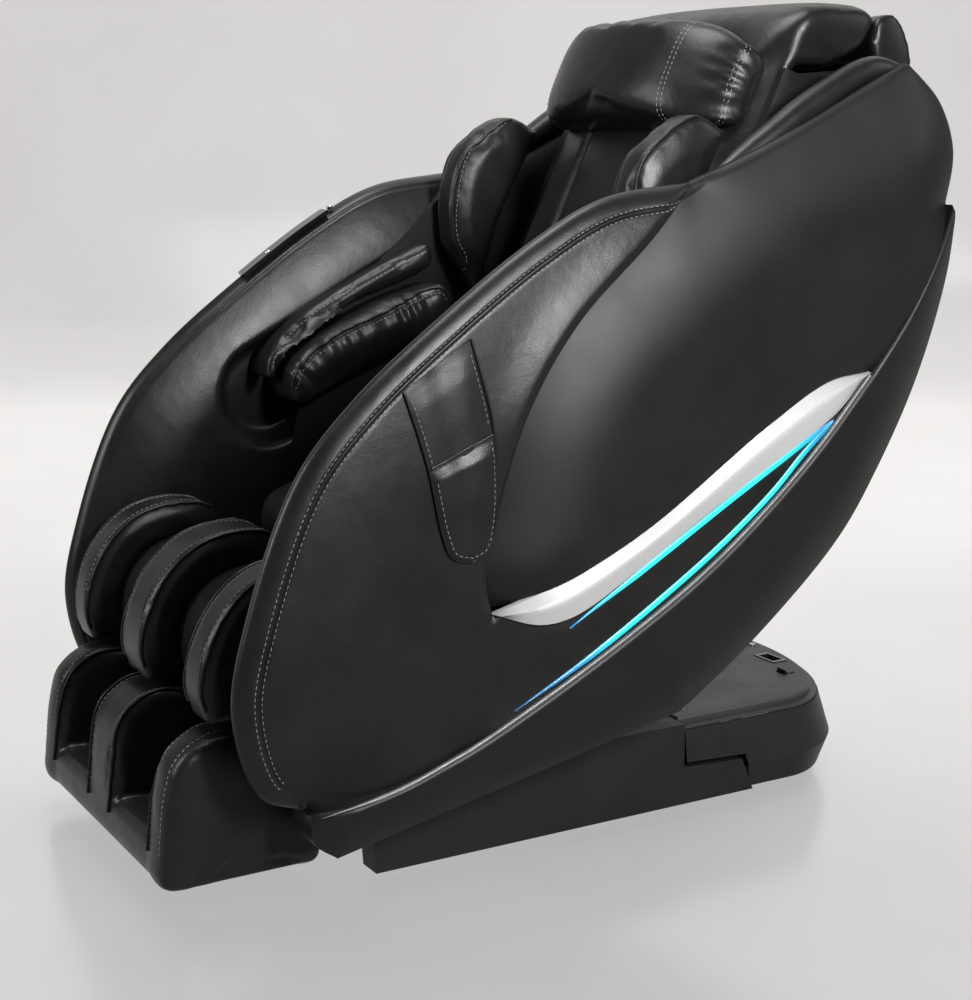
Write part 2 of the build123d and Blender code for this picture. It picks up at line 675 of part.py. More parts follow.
def calf_shell():
    """Curved bed behind the calf pads."""
    back = [CALF_BED[-1], CALF_BACK[0]]
    face = outline(CALF_BED, back, CALF_BACK, [CALF_BACK[-1], CALF_BED[0]])
    return plate(face, -CALF_HALF_WIDTH, CALF_HALF_WIDTH)


def calf_frame():
    """Steel arms on the knee shaft, a cross tube, the slide sleeves and the lever."""
    arm = polygon([(-334, 414), (-298, 414), (-298, 384), (-352, 318), (-425, 262), (-468, 262),
                   (-470, 300), (-460, 332), (-436, 360), (-400, 382), (-334, 382)])
    side = plate(arm, 240, 248) - rod_x(KNEE_PIVOT, SHAFT_RADIUS + SHAFT_CLEARANCE, 230, 260)
    parts = [side, mirrored(side)]
    parts.append(block(-239.5, 239.5, -452, -428, 318, 342))
    sleeve = rod_between(slide_point(20), slide_point(20 + SLEEVE_LENGTH), 11, SLIDE_X)
    sleeve -= rod_between(slide_point(0), slide_point(120), 6.3, SLIDE_X)
    web = block(SLIDE_X - 4, SLIDE_X + 4, -427.5, -412, 318, 334)
    web -= rod_between(slide_point(0), slide_point(120), 11.2, SLIDE_X)
    for piece in (sleeve, web):
        parts += [piece, mirrored(piece)]
    y, z = LEG_EYE
    lever = [(-427.5, 342), (-412, 342), (y + 12, z + 12), (y + 12, z - 11), (y - 12, z - 11),
             (-427.5, 318)]
    for x_low in (LEG_MOTOR_X - 16, LEG_MOTOR_X + 10):
        parts.append(plate(polygon(lever), x_low, x_low + 6) - driven_pin(LEG_EYE, LEG_MOTOR_X))
    parts.append(driven_pin(LEG_EYE, LEG_MOTOR_X))
    return group(*parts)


def foot_rods():
    """Guide rods of the foot unit, running in the calf frame's sleeves."""
    rod = rod_between(slide_point(6), slide_point(215), 6.1, SLIDE_X)
    return group(rod, mirrored(rod))


FOOT_TOP = 248.0
FOOT_FLOOR = 80.0
FOOT_BOTTOM = 35.0
FOOT_REAR = -386.0


def foot_shell():
    """Padded foot unit with two wells, closed below and behind and open above and in front."""
    wall = outline([(FOOT_REAR, FOOT_BOTTOM), (-618, 36)],
                   [(-618, 36), (FRONT + 3, 62), (-612, 165), (-594, 216), (-548, 246)],
                   [(-548, 246), (-500, FOOT_TOP), (-420, 244)],
                   [(-420, 244), (-392, 225), (FOOT_REAR, 190)],
                   [(FOOT_REAR, 190), (FOOT_REAR, FOOT_BOTTOM)])
    body = plate(wall, -CALF_HALF_WIDTH, CALF_HALF_WIDTH)
    well = outline([(-440, 300), (-424, 220), (-430, FOOT_FLOOR + 12)],
                   [(-430, FOOT_FLOOR + 12), (-445, FOOT_FLOOR), (-500, FOOT_FLOOR)],
                   [(-500, FOOT_FLOOR), (-585, FOOT_FLOOR), (-660, FOOT_FLOOR + 6)],
                   [(-660, FOOT_FLOOR + 6), (-660, 300)], [(-660, 300), (-440, 300)])
    for x_low, x_high in ((48, 200), (-200, -48)):
        body -= plate(well, x_low, x_high)
    for x in (-SLIDE_X, SLIDE_X):
        body -= rod_between(slide_point(40), slide_point(216), 6.3, x)
    return body


# ------------------------------------------------------------------ the whole chair
def left_and_right(name, shape):
    """The two mirrored nodes of a side piece."""
    return {name + "_left": shape, name + "_right": mirrored(shape)}


def build_nodes():
    """Every node of the chair by name."""
    nodes = {
        "base_frame": base_frame(),
        "base_rear_cover": rear_cover(),
        "base_deck": deck(),
        "rubber_feet": rubber_feet(),
        "power_inlet": power_inlet(),
        "deck_screws": deck_screws(),
        "pivot_shaft": rod_x(TILT_PIVOT, SHAFT_RADIUS, -226, 226),
        "power_supply": power_supply(),
        "transport_wheels": transport_wheels(),
        "power_switch": power_switch(),
        "tilt_motor": motor_body(TILT_MOTOR_PIVOT, TILT_EYE, TILT_MOTOR_X, 118),
        "tilt_rod": push_rod(TILT_MOTOR_PIVOT, TILT_EYE, TILT_MOTOR_X, 30),
        "recline_motor": motor_body(RECLINE_MOTOR_PIVOT, RECLINE_EYE, RECLINE_MOTOR_X, 150),
        "recline_rod": push_rod(RECLINE_MOTOR_PIVOT, RECLINE_EYE, RECLINE_MOTOR_X, 100),
        "leg_motor": motor_body(LEG_MOTOR_PIVOT, LEG_EYE, LEG_MOTOR_X, 190),
        "leg_rod": push_rod(LEG_MOTOR_PIVOT, LEG_EYE, LEG_MOTOR_X, 40),
        "seat_frame": seat_frame(),
        "seat_cushion": seat_cushion(),
        "hip_shaft": group(rod_x(HIP_PIVOT, SHAFT_RADIUS, 227, 250),
                           rod_x(HIP_PIVOT, SHAFT_RADIUS, -250, -227)),
        "knee_shaft": rod_x(KNEE_PIVOT, SHAFT_RADIUS, -250, 250),
        "remote_pocket": remote_pocket(),
        "control_strip": control_strip(),
        "front_key": strip_key(FRONT_KEY),
        "rear_key": strip_key(REAR_KEY),
        "backrest_frame": backrest_frame(),
        "massage_rails": massage_rails(),
        "lead_screw": lead_screw(),
        "backrest_pad": backrest_pad(),
        "back_cover": back_cover(),
        "head_pillow": head_pillow(),
        "carriage_frame": carriage_frame(),
        "knead_motor": knead_motor(),
        "massage_rollers": massage_rollers(),
        "calf_frame": calf_frame(),
        "calf_shell": calf_shell(),
        "calf_pad_middle": calf_pad(-CHANNEL_INNER, CHANNEL_INNER),
        "foot_rods": foot_rods(),
        "foot_shell": foot_shell(),
    }
    nodes |= left_and_right("base_side_cover", side_cover())
    nodes |= left_and_right("arm_liner", arm_liner())
    nodes |= left_and_right("arm_panel", arm_panel())
    nodes |= left_and_right("rear_shell", rear_shell())
    nodes |= left_and_right("silver_trim", silver_trim())
    nodes |= left_and_right("sill_panel", sill_panel())
    nodes |= left_and_right("led_strip", led_strip())
    nodes |= left_and_right("arm_pad_upper", arm_pad_upper())
    nodes |= left_and_right("arm_pad_lower", arm_pad_lower())
    nodes |= left_and_right("shoulder_wing", shoulder_wing())
    nodes |= left_and_right("calf_pad", calf_pad(CHANNEL_OUTER, CALF_HALF_WIDTH))
    return nodes


def main():
    os.makedirs("parts", exist_ok=True)
    for name, shape in build_nodes().items():
        solids = shape.solids()
        node = solids[0] if len(solids) == 1 else Compound(children=list(solids))
        node.label = name
        export_step(node, f"parts/{name}.step")
        print(name, len(solids), round(node.volume / 1000))


main()
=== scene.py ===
import json
import math

import bmesh
import bpy
import numpy as np
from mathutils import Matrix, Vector
from mathutils.bvhtree import BVHTree

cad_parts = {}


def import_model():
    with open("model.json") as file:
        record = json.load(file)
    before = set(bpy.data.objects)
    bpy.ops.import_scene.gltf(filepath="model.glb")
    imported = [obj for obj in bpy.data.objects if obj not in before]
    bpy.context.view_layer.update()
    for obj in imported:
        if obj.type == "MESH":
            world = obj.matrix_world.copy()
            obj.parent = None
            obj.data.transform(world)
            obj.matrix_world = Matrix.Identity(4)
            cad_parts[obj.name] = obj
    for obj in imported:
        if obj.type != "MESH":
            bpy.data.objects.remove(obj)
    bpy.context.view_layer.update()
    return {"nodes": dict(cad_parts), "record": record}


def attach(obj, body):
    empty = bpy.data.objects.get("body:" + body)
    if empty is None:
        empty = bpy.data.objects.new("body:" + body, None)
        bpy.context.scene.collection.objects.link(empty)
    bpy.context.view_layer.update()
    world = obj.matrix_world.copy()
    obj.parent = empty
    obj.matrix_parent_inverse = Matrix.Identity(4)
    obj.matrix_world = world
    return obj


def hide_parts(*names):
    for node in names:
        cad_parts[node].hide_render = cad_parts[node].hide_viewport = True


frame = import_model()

# Looks of the zero-gravity massage chair. Shapes are drawn in millimetres and scaled to metres when
# a mesh is made: x to the sitter's left, y to the back, z up. Side outlines are (y, z) points.

MM = 0.001
SIDES = {"left": 1, "right": -1}

# ------------------------------------------------------------------ side outlines, as in the CAD
FRONT_TIP = (-455, 152)
CREASE_TOP = (140, 945)
TRIM_FRONT = (-188, 384)
TRIM_REAR = (450, 668)
RIDGE_TOP = (621, 905)
PANEL_CORNER = (-235, 204)
LEAF_FRONT = [FRONT_TIP, (-515, 180), (-549, 295), (-525, 416), (-455, 587), (-372, 681),
              (-252, 776), (-108, 873), (0, 925), CREASE_TOP]
CREASE = [CREASE_TOP, (62, 871), (-58, 765), (-134, 655), (-178, 520), (-198, 434), TRIM_FRONT]
PETAL_TOP = [CREASE_TOP, (237, 980), (342, 1026), (461, 1082), (530, 1112)]
PETAL_REAR = [(530, 1112), (594, 1060), (627, 990), RIDGE_TOP]
RIDGE_LOW = [FRONT_TIP, (-339, 170), PANEL_CORNER]
RIDGE_MIDDLE = [PANEL_CORNER, (-188, 224), (-29, 300), (139, 394), (243, 469), (349, 561), TRIM_REAR]
RIDGE_HIGH = [TRIM_REAR, (520, 752), (575, 830), RIDGE_TOP]
TRIM_UPPER = [TRIM_FRONT, (-92, 411), (55, 475), (265, 605), (375, 660), TRIM_REAR]
TRIM_LOWER = [TRIM_FRONT, (-115, 361), (-59, 367), (39, 416), (175, 493), (316, 568), (392, 612),
              TRIM_REAR]
PANEL_FRONT = [PANEL_CORNER, (-228, 300), TRIM_FRONT]
LEAF_REAR = [RIDGE_TOP, (606, 800), (557, 654), (485, 519), (412, 417), (251, 278), (129, 196)]
LEAF_BOTTOM = [(129, 196), (-418, 86)]
LEAF_NOSE = [(-418, 86), (-450, 112), FRONT_TIP]

RIM_X = 340.0                   # crest of the arms and shells
LINER_X = 289.0                 # inner face of the arms
HIP = (100.0, 360.0)
BACK_LEAN = math.radians(25.0)


# ------------------------------------------------------------------ lines
def smooth_line(points, count):
    """Evenly spaced points on a smooth curve through the given ones, in any dimension."""
    p = np.array(points, float)
    if len(p) == 2:
        return p[0] + (p[1] - p[0]) * np.linspace(0, 1, count)[:, None]
    knots = np.r_[0, np.cumsum(np.linalg.norm(np.diff(p, axis=0), axis=1) ** 0.5)]
    slope = np.gradient(p, knots, axis=0)
    fine = np.linspace(0, knots[-1], 30 * len(p))
    k = np.clip(np.searchsorted(knots, fine, "right") - 1, 0, len(p) - 2)
    width = (knots[k + 1] - knots[k])[:, None]
    s = (fine - knots[k])[:, None] / width
    line = (p[k] * (1 + 2 * s) * (1 - s) ** 2 + slope[k] * width * s * (1 - s) ** 2
            + p[k + 1] * s ** 2 * (3 - 2 * s) + slope[k + 1] * width * s ** 2 * (s - 1))
    return respaced(line, count)


def respaced(line, count):
    """The same line with evenly spaced points."""
    length = np.r_[0, np.cumsum(np.linalg.norm(np.diff(line, axis=0), axis=1))]
    wanted = np.linspace(0, length[-1], count)
    return np.column_stack([np.interp(wanted, length, line[:, i]) for i in range(line.shape[1])])


def joined(edges, count):
    """Edges that meet end to end as one line of about that many points, corners kept."""
    drawn = [smooth_line(edge, 200) for edge in edges]
    lengths = np.array([np.linalg.norm(np.diff(d, axis=0), axis=1).sum() for d in drawn])
    shares = np.maximum(2, np.round((count - 1) * lengths / lengths.sum())).astype(int)
    shares[-1] += count - 1 - shares.sum()
    parts = [respaced(d, n + 1)[:-1] for d, n in zip(drawn, shares)]
    return np.vstack(parts + [drawn[-1][-1:]])


def back(points):
    """The same points from their other end."""
    return list(points)[::-1]


def beside(line, amount):
    """An open 2-D line moved to its left, less near its ends."""
    along = np.gradient(line, axis=0)
    along /= np.linalg.norm(along, axis=1)[:, None]
    run = np.r_[0, np.cumsum(np.linalg.norm(np.diff(line, axis=0), axis=1))]
    ease = np.clip(np.minimum(run, run[-1] - run) / (2 * abs(amount)), 0, 1)
    ease = ease * (2 - ease)
    normal = np.column_stack([-along[:, 1], along[:, 0]])
    return line + normal * (amount * ease)[:, None]


def shrunk(loop, amount):
    """A closed 2-D loop that turns left, moved inwards."""
    along = np.roll(loop, -1, 0) - np.roll(loop, 1, 0)
    along /= np.linalg.norm(along, axis=1)[:, None]
    return loop + np.column_stack([-along[:, 1], along[:, 0]]) * amount


def nearest(line, points):
    """Distance of each point from a line of points, and how far along the line it is."""
    start, step = line[:-1], np.diff(line, axis=0)
    length = np.maximum(np.linalg.norm(step, axis=1), 1e-6)
    before = np.r_[0, np.cumsum(length)]
    best, run = np.full(len(points), 1e9), np.zeros(len(points))
    for a, d, size, first in zip(start, step, length, before):
        share = np.clip(((points - a) @ d) / size ** 2, 0, 1)
        away = np.linalg.norm(points - a - share[:, None] * d, axis=1)
        run = np.where(away < best, first + share * size, run)
        best = np.minimum(best, away)
    return best, run


def distance_to(line, points):
    """Distance of each point from a line of points."""
    return nearest(line, points)[0]


def on_back(along, forward):
    """A (y, z) point measured up the backrest from the hip and forward of it."""
    y = HIP[0] + along * math.sin(BACK_LEAN) - forward * math.cos(BACK_LEAN)
    return (y, HIP[1] + along * math.cos(BACK_LEAN) + forward * math.sin(BACK_LEAN))


def step_up(value, low, high):
    """0 below low, 1 above high, smooth between."""
    t = np.clip((value - low) / (high - low), 0, 1)
    return t * t * (3 - 2 * t)


def roll(distance, reach):
    """0 at an edge and 1 from reach on, like a quarter circle."""
    t = np.clip(distance / reach, 0, 1)
    return np.sqrt(1 - (1 - t) ** 2)


def ease_in(distance, reach, power=2.0):
    """0 at an edge and 1 from reach on, with a slope at the edge."""
    return 1 - (1 - np.clip(distance / reach, 0, 1)) ** power


def dent(distance, width):
    """1 on a line, fading to 0 over about its width on both sides."""
    return np.exp(-(distance / width) ** 2)


# ------------------------------------------------------------------ meshes
def make_piece(name, points, faces, sharp=50.0):
    """A mesh object from points in millimetres, welded and facing outwards."""
    mesh = bpy.data.meshes.new(name)
    mesh.from_pydata((np.asarray(points, float) * MM).tolist(), [], faces)
    build = bmesh.new()
    build.from_mesh(mesh)
    bmesh.ops.remove_doubles(build, verts=build.verts, dist=2e-5)
    bmesh.ops.recalc_face_normals(build, faces=build.faces)
    build.to_mesh(mesh)
    build.free()
    mesh.polygons.foreach_set("use_smooth", [True] * len(mesh.polygons))
    mesh.set_sharp_from_angle(angle=math.radians(sharp))
    piece = bpy.data.objects.new(name, mesh)
    bpy.context.scene.collection.objects.link(piece)
    return piece


def grid_faces(rows, columns, wrap_rows=False, wrap_columns=False):
    """Quads of a grid of points numbered row by row."""
    faces = []
    for i in range(rows if wrap_rows else rows - 1):
        for j in range(columns if wrap_columns else columns - 1):
            a, b = i * columns + j, i * columns + (j + 1) % columns
            c, d = (i + 1) % rows * columns + (j + 1) % columns, (i + 1) % rows * columns + j
            faces.append((a, b, c, d))
    return faces


def coordinates(piece):
    """The piece's points in millimetres."""
    flat = np.zeros(len(piece.data.vertices) * 3, np.float32)
    piece.data.vertices.foreach_get("co", flat)
    return flat.reshape(-1, 3).astype(float) / MM


def move_points(piece, points):
    """Puts the piece's points at these places in millimetres."""
    piece.data.vertices.foreach_set("co", (points * MM).astype(np.float32).ravel())
    piece.data.update()


def normals(piece):
    """The piece's point normals."""
    flat = np.zeros(len(piece.data.vertices) * 3, np.float32)
    piece.data.vertices.foreach_get("normal", flat)
    return flat.reshape(-1, 3).astype(float)


def applied(piece):
    """Replaces the piece's mesh by what its modifiers make of it."""
    graph = bpy.context.evaluated_depsgraph_get()
    mesh = bpy.data.meshes.new_from_object(piece.evaluated_get(graph))
    piece.modifiers.clear()
    old = piece.data
    piece.data = mesh
    bpy.data.meshes.remove(old)
    mesh.polygons.foreach_set("use_smooth", [True] * len(mesh.polygons))
    return piece


def side_form(name, side, rails, rows, outer, inner):
    """A closed side form lofted over (y, z) rails that share their ends. outer and inner give
    its limits in x at (y, z) points."""
    spans = []
    for i, count in enumerate(rows):
        share = (1 - np.cos(np.linspace(0, math.pi, count + 1))) / 2
        share = share if i == len(rows) - 1 else share[:-1]
        spans.append(rails[i] + (rails[i + 1] - rails[i]) * share[:, None, None])
    grid = np.concatenate(spans)
    flat = grid.reshape(-1, 2)
    sheets = []
    for limit in (outer, inner):
        x = np.broadcast_to(limit(flat), len(flat)).reshape(grid.shape[:2])
        sheets.append(np.dstack([x * side, grid]))
    ring = np.concatenate([sheets[0], sheets[1][::-1]])
    faces = grid_faces(ring.shape[0], ring.shape[1], wrap_rows=True)
    return make_piece(name, ring.reshape(-1, 3), faces)


def ring_piece(name, rings):
    """A closed form through rings of equally many points, flat at both ends."""
    count = len(rings[0])
    last = (len(rings) - 1) * count
    faces = grid_faces(len(rings), count, wrap_columns=True)
    faces += [tuple(range(count))[::-1], tuple(range(last, last + count))]
    return make_piece(name, np.vstack(rings), faces)


def layer_piece(name, rows):
    """A closed sheet with thickness, from rows that go round its section."""
    count = len(rows[0])
    faces = grid_faces(len(rows), count, wrap_rows=True)
    faces += [tuple(i * count for i in range(len(rows))),
              tuple(i * count + count - 1 for i in range(len(rows)))]
    return make_piece(name, np.vstack(rows), faces)


def tube(name, line, radius, sides=8):
    """A closed tube along 3-D points, of one radius or of one for each point."""
    line = np.asarray(line, float)
    radii = np.broadcast_to(radius, len(line))
    along = np.gradient(line, axis=0)
    along /= np.linalg.norm(along, axis=1)[:, None]
    lead = np.array([1.0, 0.0, 0.0]) if abs(along[0][0]) < 0.8 else np.array([0.0, 0.0, 1.0])
    rings = []
    for point, way, size in zip(line, along, radii):
        lead = lead - way * (lead @ way)
        lead /= np.linalg.norm(lead)
        across = np.cross(way, lead)
        turn = np.linspace(0, 2 * math.pi, sides, endpoint=False)[:, None]
        rings.append(point + size * (np.cos(turn) * lead + np.sin(turn) * across))
    return ring_piece(name, rings)


def surface_tree(piece):
    """A search tree over the piece's faces, in millimetres."""
    points = [Vector(p) for p in coordinates(piece)]
    faces = [tuple(face.vertices) for face in piece.data.polygons]
    return BVHTree.FromPolygons(points, faces)


def laid_on(tree, line, way, lift=0.0):
    """The line's points dropped on a surface along a direction, with the surface's normals."""
    spots, facing = [], []
    way = Vector(way).normalized()
    for point in line:
        hit, normal, _, _ = tree.ray_cast(Vector(point) - way * 200, way)
        if hit is None:
            continue
        if normal.dot(way) > 0:
            normal = -normal
        spots.append(np.array(hit + normal * lift))
        facing.append(np.array(normal))
    return np.array(spots), np.array(facing)


STITCH_LENGTH = 5.0
STITCH_PITCH = 8.0
STITCH_HALF = 0.55


def stitches(name, line, facing, shift=0.0):
    """A row of short raised threads along a line on a surface."""
    length = np.r_[0, np.cumsum(np.linalg.norm(np.diff(line, axis=0), axis=1))]
    middles = np.arange(STITCH_PITCH, length[-1] - STITCH_PITCH, STITCH_PITCH)
    ends = np.array([0.0, 0.18, 0.82, 1.0])
    swell = np.array([0.25, 1.0, 1.0, 0.25])
    points, faces = [], []
    for middle in middles:
        at = middle + (ends - 0.5) * STITCH_LENGTH
        spine = np.column_stack([np.interp(at, length, line[:, i]) for i in range(3)])
        up = np.array([np.interp(middle, length, facing[:, i]) for i in range(3)])
        up /= np.linalg.norm(up)
        way = spine[-1] - spine[0]
        way /= np.linalg.norm(way)
        across = np.cross(up, way)
        first = len(points)
        for spot, size in zip(spine, swell):
            for a, b in ((1, 0), (0.5, 0.85), (-0.5, 0.85), (-1, 0), (0, -0.8)):
                offset = across * (a * STITCH_HALF + shift / size) + up * (b * STITCH_HALF)
                points.append(spot + offset * size)
        faces += [tuple(first + i for i in f) for f in grid_faces(4, 5, wrap_columns=True)]
        faces += [tuple(first + i for i in (4, 3, 2, 1, 0)), tuple(first + 15 + i for i in range(5))]
    return make_piece(name, points, faces)


# ------------------------------------------------------------------ materials
def shader_tree(name):
    """A new material with its node tree and its shader."""
    material = bpy.data.materials.new(name)
    material.use_nodes = True
    tree = material.node_tree
    return material, tree, tree.nodes["Principled BSDF"]


def place(tree, stretch=(1, 1, 1)):
    """Row-frame position, stretched, as a socket."""
    where = tree.nodes.new("ShaderNodeTexCoord")
    scale = tree.nodes.new("ShaderNodeMapping")
    scale.inputs["Scale"].default_value = stretch
    tree.links.new(where.outputs["Object"], scale.inputs["Vector"])
    return scale.outputs["Vector"]


def noise(tree, scale, detail=3.0, stretch=(1, 1, 1)):
    """Cloudy pattern, with scale in cells per metre."""
    node = tree.nodes.new("ShaderNodeTexNoise")
    node.inputs["Scale"].default_value = scale
    node.inputs["Detail"].default_value = detail
    tree.links.new(place(tree, stretch), node.inputs["Vector"])
    return node.outputs["Fac"]


def cells(tree, scale, stretch=(1, 1, 1)):
    """Leather-like cell pattern, with scale in cells per metre."""
    node = tree.nodes.new("ShaderNodeTexVoronoi")
    node.inputs["Scale"].default_value = scale
    node.inputs["Randomness"].default_value = 0.9
    tree.links.new(place(tree, stretch), node.inputs["Vector"])
    return node.outputs["Distance"]


def ramp(tree, source, stops):
    """Colours by position along a source socket."""
    node = tree.nodes.new("ShaderNodeValToRGB")
    bar = node.color_ramp
    while len(bar.elements) < len(stops):
        bar.elements.new(0.5)
    for element, (position, colour) in zip(bar.elements, stops):
        element.position = position
        element.color = (*colour, 1.0)
    tree.links.new(source, node.inputs["Fac"])
    return node.outputs["Color"]


def between(tree, source, low, high):
    """A value that goes from low to high as the source goes from 0.3 to 0.7."""
    node = tree.nodes.new("ShaderNodeMapRange")
    node.inputs["From Min"].default_value = 0.3
    node.inputs["From Max"].default_value = 0.7
    node.inputs["To Min"].default_value = low
    node.inputs["To Max"].default_value = high
    tree.links.new(source, node.inputs["Value"])
    return node.outputs["Result"]


def raise_relief(tree, shader, *layers):
    """Bump layers, each (height socket, strength, distance in metres), chained to the shader."""
    normal = None
    for height, strength, distance in layers:
        node = tree.nodes.new("ShaderNodeBump")
        node.inputs["Strength"].default_value = strength
        node.inputs["Distance"].default_value = distance
        tree.links.new(height, node.inputs["Height"])
        if normal is not None:
            tree.links.new(normal, node.inputs["Normal"])
        normal = node.outputs["Normal"]
    tree.links.new(normal, shader.inputs["Normal"])


def wandering(name, dark, light, rough_low, rough_high, mottle, layers, metallic=0.0):
    """A finish whose colour and roughness wander between two values over the given relief.
    Each relief layer is (pattern, scale, strength, distance)."""
    material, tree, shader = shader_tree(name)
    cloud = noise(tree, mottle)
    tree.links.new(ramp(tree, cloud, [(0.35, dark), (0.65, light)]), shader.inputs["Base Color"])
    tree.links.new(between(tree, noise(tree, mottle * 2.3), rough_low, rough_high),
                   shader.inputs["Roughness"])
    shader.inputs["Metallic"].default_value = metallic
    relief = [(pattern(tree, scale), strength, distance)
              for pattern, scale, strength, distance in layers]
    raise_relief(tree, shader, *relief)
    return material, shader


def leather():
    """Black grained leather with a soft sheen."""
    material, shader = wandering(
        "black_leather", (0.0045, 0.0043, 0.0042), (0.0075, 0.007, 0.0068), 0.30, 0.38, 9.0,
        [(cells, 620.0, 0.22, 0.0005), (noise, 1500.0, 0.12, 0.0003), (noise, 34.0, 0.22, 0.003)])
    shader.inputs["Specular IOR Level"].default_value = 0.2
    return material


def shell_plastic():
    """Fine-textured black moulding."""
    material, shader = wandering(
        "shell_plastic", (0.004, 0.004, 0.004), (0.006, 0.0058, 0.0056), 0.40, 0.46, 6.0,
        [(noise, 1300.0, 0.35, 0.0004), (noise, 420.0, 0.12, 0.0004)])
    shader.inputs["Specular IOR Level"].default_value = 0.2
    return material


def sill_plastic():
    """Satin black moulding of the light panel and the sill."""
    material, shader = wandering(
        "sill_plastic", (0.004, 0.004, 0.004), (0.006, 0.006, 0.006), 0.38, 0.46, 7.0,
        [(noise, 1500.0, 0.2, 0.0003)])
    shader.inputs["Specular IOR Level"].default_value = 0.2
    return material


def silver():
    """Silver paint with fine flakes."""
    material, shader = wandering(
        "silver_plastic", (0.30, 0.30, 0.30), (0.36, 0.36, 0.36), 0.34, 0.42, 900.0,
        [(noise, 2500.0, 0.06, 0.0002)], metallic=0.1)
    shader.inputs["Coat Weight"].default_value = 0.3
    return material


def base_plastic():
    """Grained dark base cover."""
    material, shader = wandering(
        "base_plastic", (0.005, 0.005, 0.005), (0.008, 0.008, 0.008), 0.42, 0.55, 8.0,
        [(noise, 900.0, 0.4, 0.0005), (cells, 500.0, 0.15, 0.0003)])
    shader.inputs["Specular IOR Level"].default_value = 0.2
    return material


def deck_plastic():
    """Lid of the base, paler and finely textured."""
    material, _ = wandering(
        "deck_plastic", (0.012, 0.012, 0.012), (0.018, 0.018, 0.018), 0.45, 0.55, 8.0,
        [(noise, 1200.0, 0.3, 0.0004)])
    return material


def frame_steel():
    """Black powder coat."""
    material, _ = wandering(
        "frame_steel", (0.012, 0.012, 0.013), (0.022, 0.022, 0.023), 0.45, 0.62, 12.0,
        [(noise, 700.0, 0.3, 0.0004)])
    return material


def shaft_steel():
    """Ground steel with fine lines round the bar."""
    material, _ = wandering(
        "shaft_steel", (0.45, 0.45, 0.46), (0.62, 0.62, 0.63), 0.22, 0.36, 300.0,
        [(noise, 1800.0, 0.1, 0.0002)], metallic=1.0)
    return material


def black_rubber():
    """Matt rubber."""
    material, _ = wandering(
        "black_rubber", (0.012, 0.012, 0.012), (0.02, 0.02, 0.02), 0.7, 0.85, 30.0,
        [(noise, 800.0, 0.3, 0.0005)])
    return material


def gloss_black():
    """Polished black plastic."""
    material, shader = wandering(
        "gloss_black", (0.004, 0.004, 0.004), (0.008, 0.008, 0.008), 0.08, 0.16, 15.0,
        [(noise, 120.0, 0.04, 0.0003)])
    shader.inputs["Coat Weight"].default_value = 0.5
    return material


def chrome_key():
    """Polished chrome with light handling marks."""
    material, _ = wandering(
        "chrome_key", (0.75, 0.75, 0.76), (0.86, 0.86, 0.87), 0.08, 0.2, 60.0,
        [(noise, 500.0, 0.05, 0.0002)], metallic=1.0)
    return material


def motor_grey():
    """Satin grey paint of the motors."""
    material, _ = wandering(
        "motor_grey", (0.16, 0.165, 0.17), (0.24, 0.245, 0.25), 0.4, 0.55, 20.0,
        [(noise, 900.0, 0.2, 0.0003)])
    return material


def light_guide():
    """Lit strip, deep blue at the front and cyan along its length."""
    material, tree, shader = shader_tree("light_guide")
    split = tree.nodes.new("ShaderNodeSeparateXYZ")
    tree.links.new(place(tree, (1.9, 1.9, 1.9)), split.inputs["Vector"])
    shift = tree.nodes.new("ShaderNodeMath")
    shift.operation = "ADD"
    shift.inputs[1].default_value = 0.315
    tree.links.new(split.outputs["Y"], shift.inputs[0])
    glow = ramp(tree, shift.outputs["Value"], [
        (0.0, (0.004, 0.03, 0.09)), (0.22, (0.01, 0.16, 0.34)), (0.5, (0.01, 0.62, 0.62)),
        (0.8, (0.01, 0.50, 0.52)), (1.0, (0.01, 0.14, 0.26))])
    tree.links.new(glow, shader.inputs["Emission Color"])
    tree.links.new(glow, shader.inputs["Base Color"])
    tree.links.new(between(tree, noise(tree, 40.0), 0.25, 0.35), shader.inputs["Roughness"])
    shader.inputs["Emission Strength"].default_value = 1.1
    return material


def thread():
    """Waxed grey thread of the stitches."""
    material, _ = wandering(
        "thread", (0.10, 0.098, 0.095), (0.16, 0.155, 0.15), 0.5, 0.65, 200.0,
        [(noise, 3000.0, 0.4, 0.0002)])
    return material


def highlight_bead_plastic():
    """Satin edge of the sill, painted lighter than the sill as a painted highlight along its ridge."""
    material, _ = wandering(
        "sill_highlight_bead", (0.05, 0.05, 0.05), (0.07, 0.07, 0.07), 0.3, 0.4, 30.0,
        [(noise, 1200.0, 0.15, 0.0002)])
    return material


FINISH = {
    "black_leather": leather(), "shell_plastic": shell_plastic(), "sill_plastic": sill_plastic(),
    "silver_plastic": silver(), "light_guide": light_guide(), "base_plastic": base_plastic(),
    "deck_plastic": deck_plastic(), "frame_steel": frame_steel(), "shaft_steel": shaft_steel(),
    "black_rubber": black_rubber(), "gloss_black": gloss_black(), "chrome_key": chrome_key(),
    "motor_grey": motor_grey(),
}
# Lighter finish of the sill's bead: a painted highlight along the ridge.
HIGHLIGHT_BEAD = highlight_bead_plastic()
THREAD = thread()


def paint(piece, material):
    """Gives the whole piece one material."""
    piece.data.materials.clear()
    piece.data.materials.append(material)


def finish_piece(piece, slot, body, *nodes):
    """Paints a piece from its slot, rides it on its body and lets it stand for CAD nodes."""
    paint(piece, FINISH[slot])
    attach(piece, body)
    if nodes:
        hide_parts(*nodes)
    return piece


def trim_thread(piece, body):
    """Paints a row of stitches and rides it."""
    paint(piece, THREAD)
    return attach(piece, body)


for part in frame["record"]["subparts"]:
    paint(frame["nodes"][part["node"]], FINISH[part["material_slot"]])


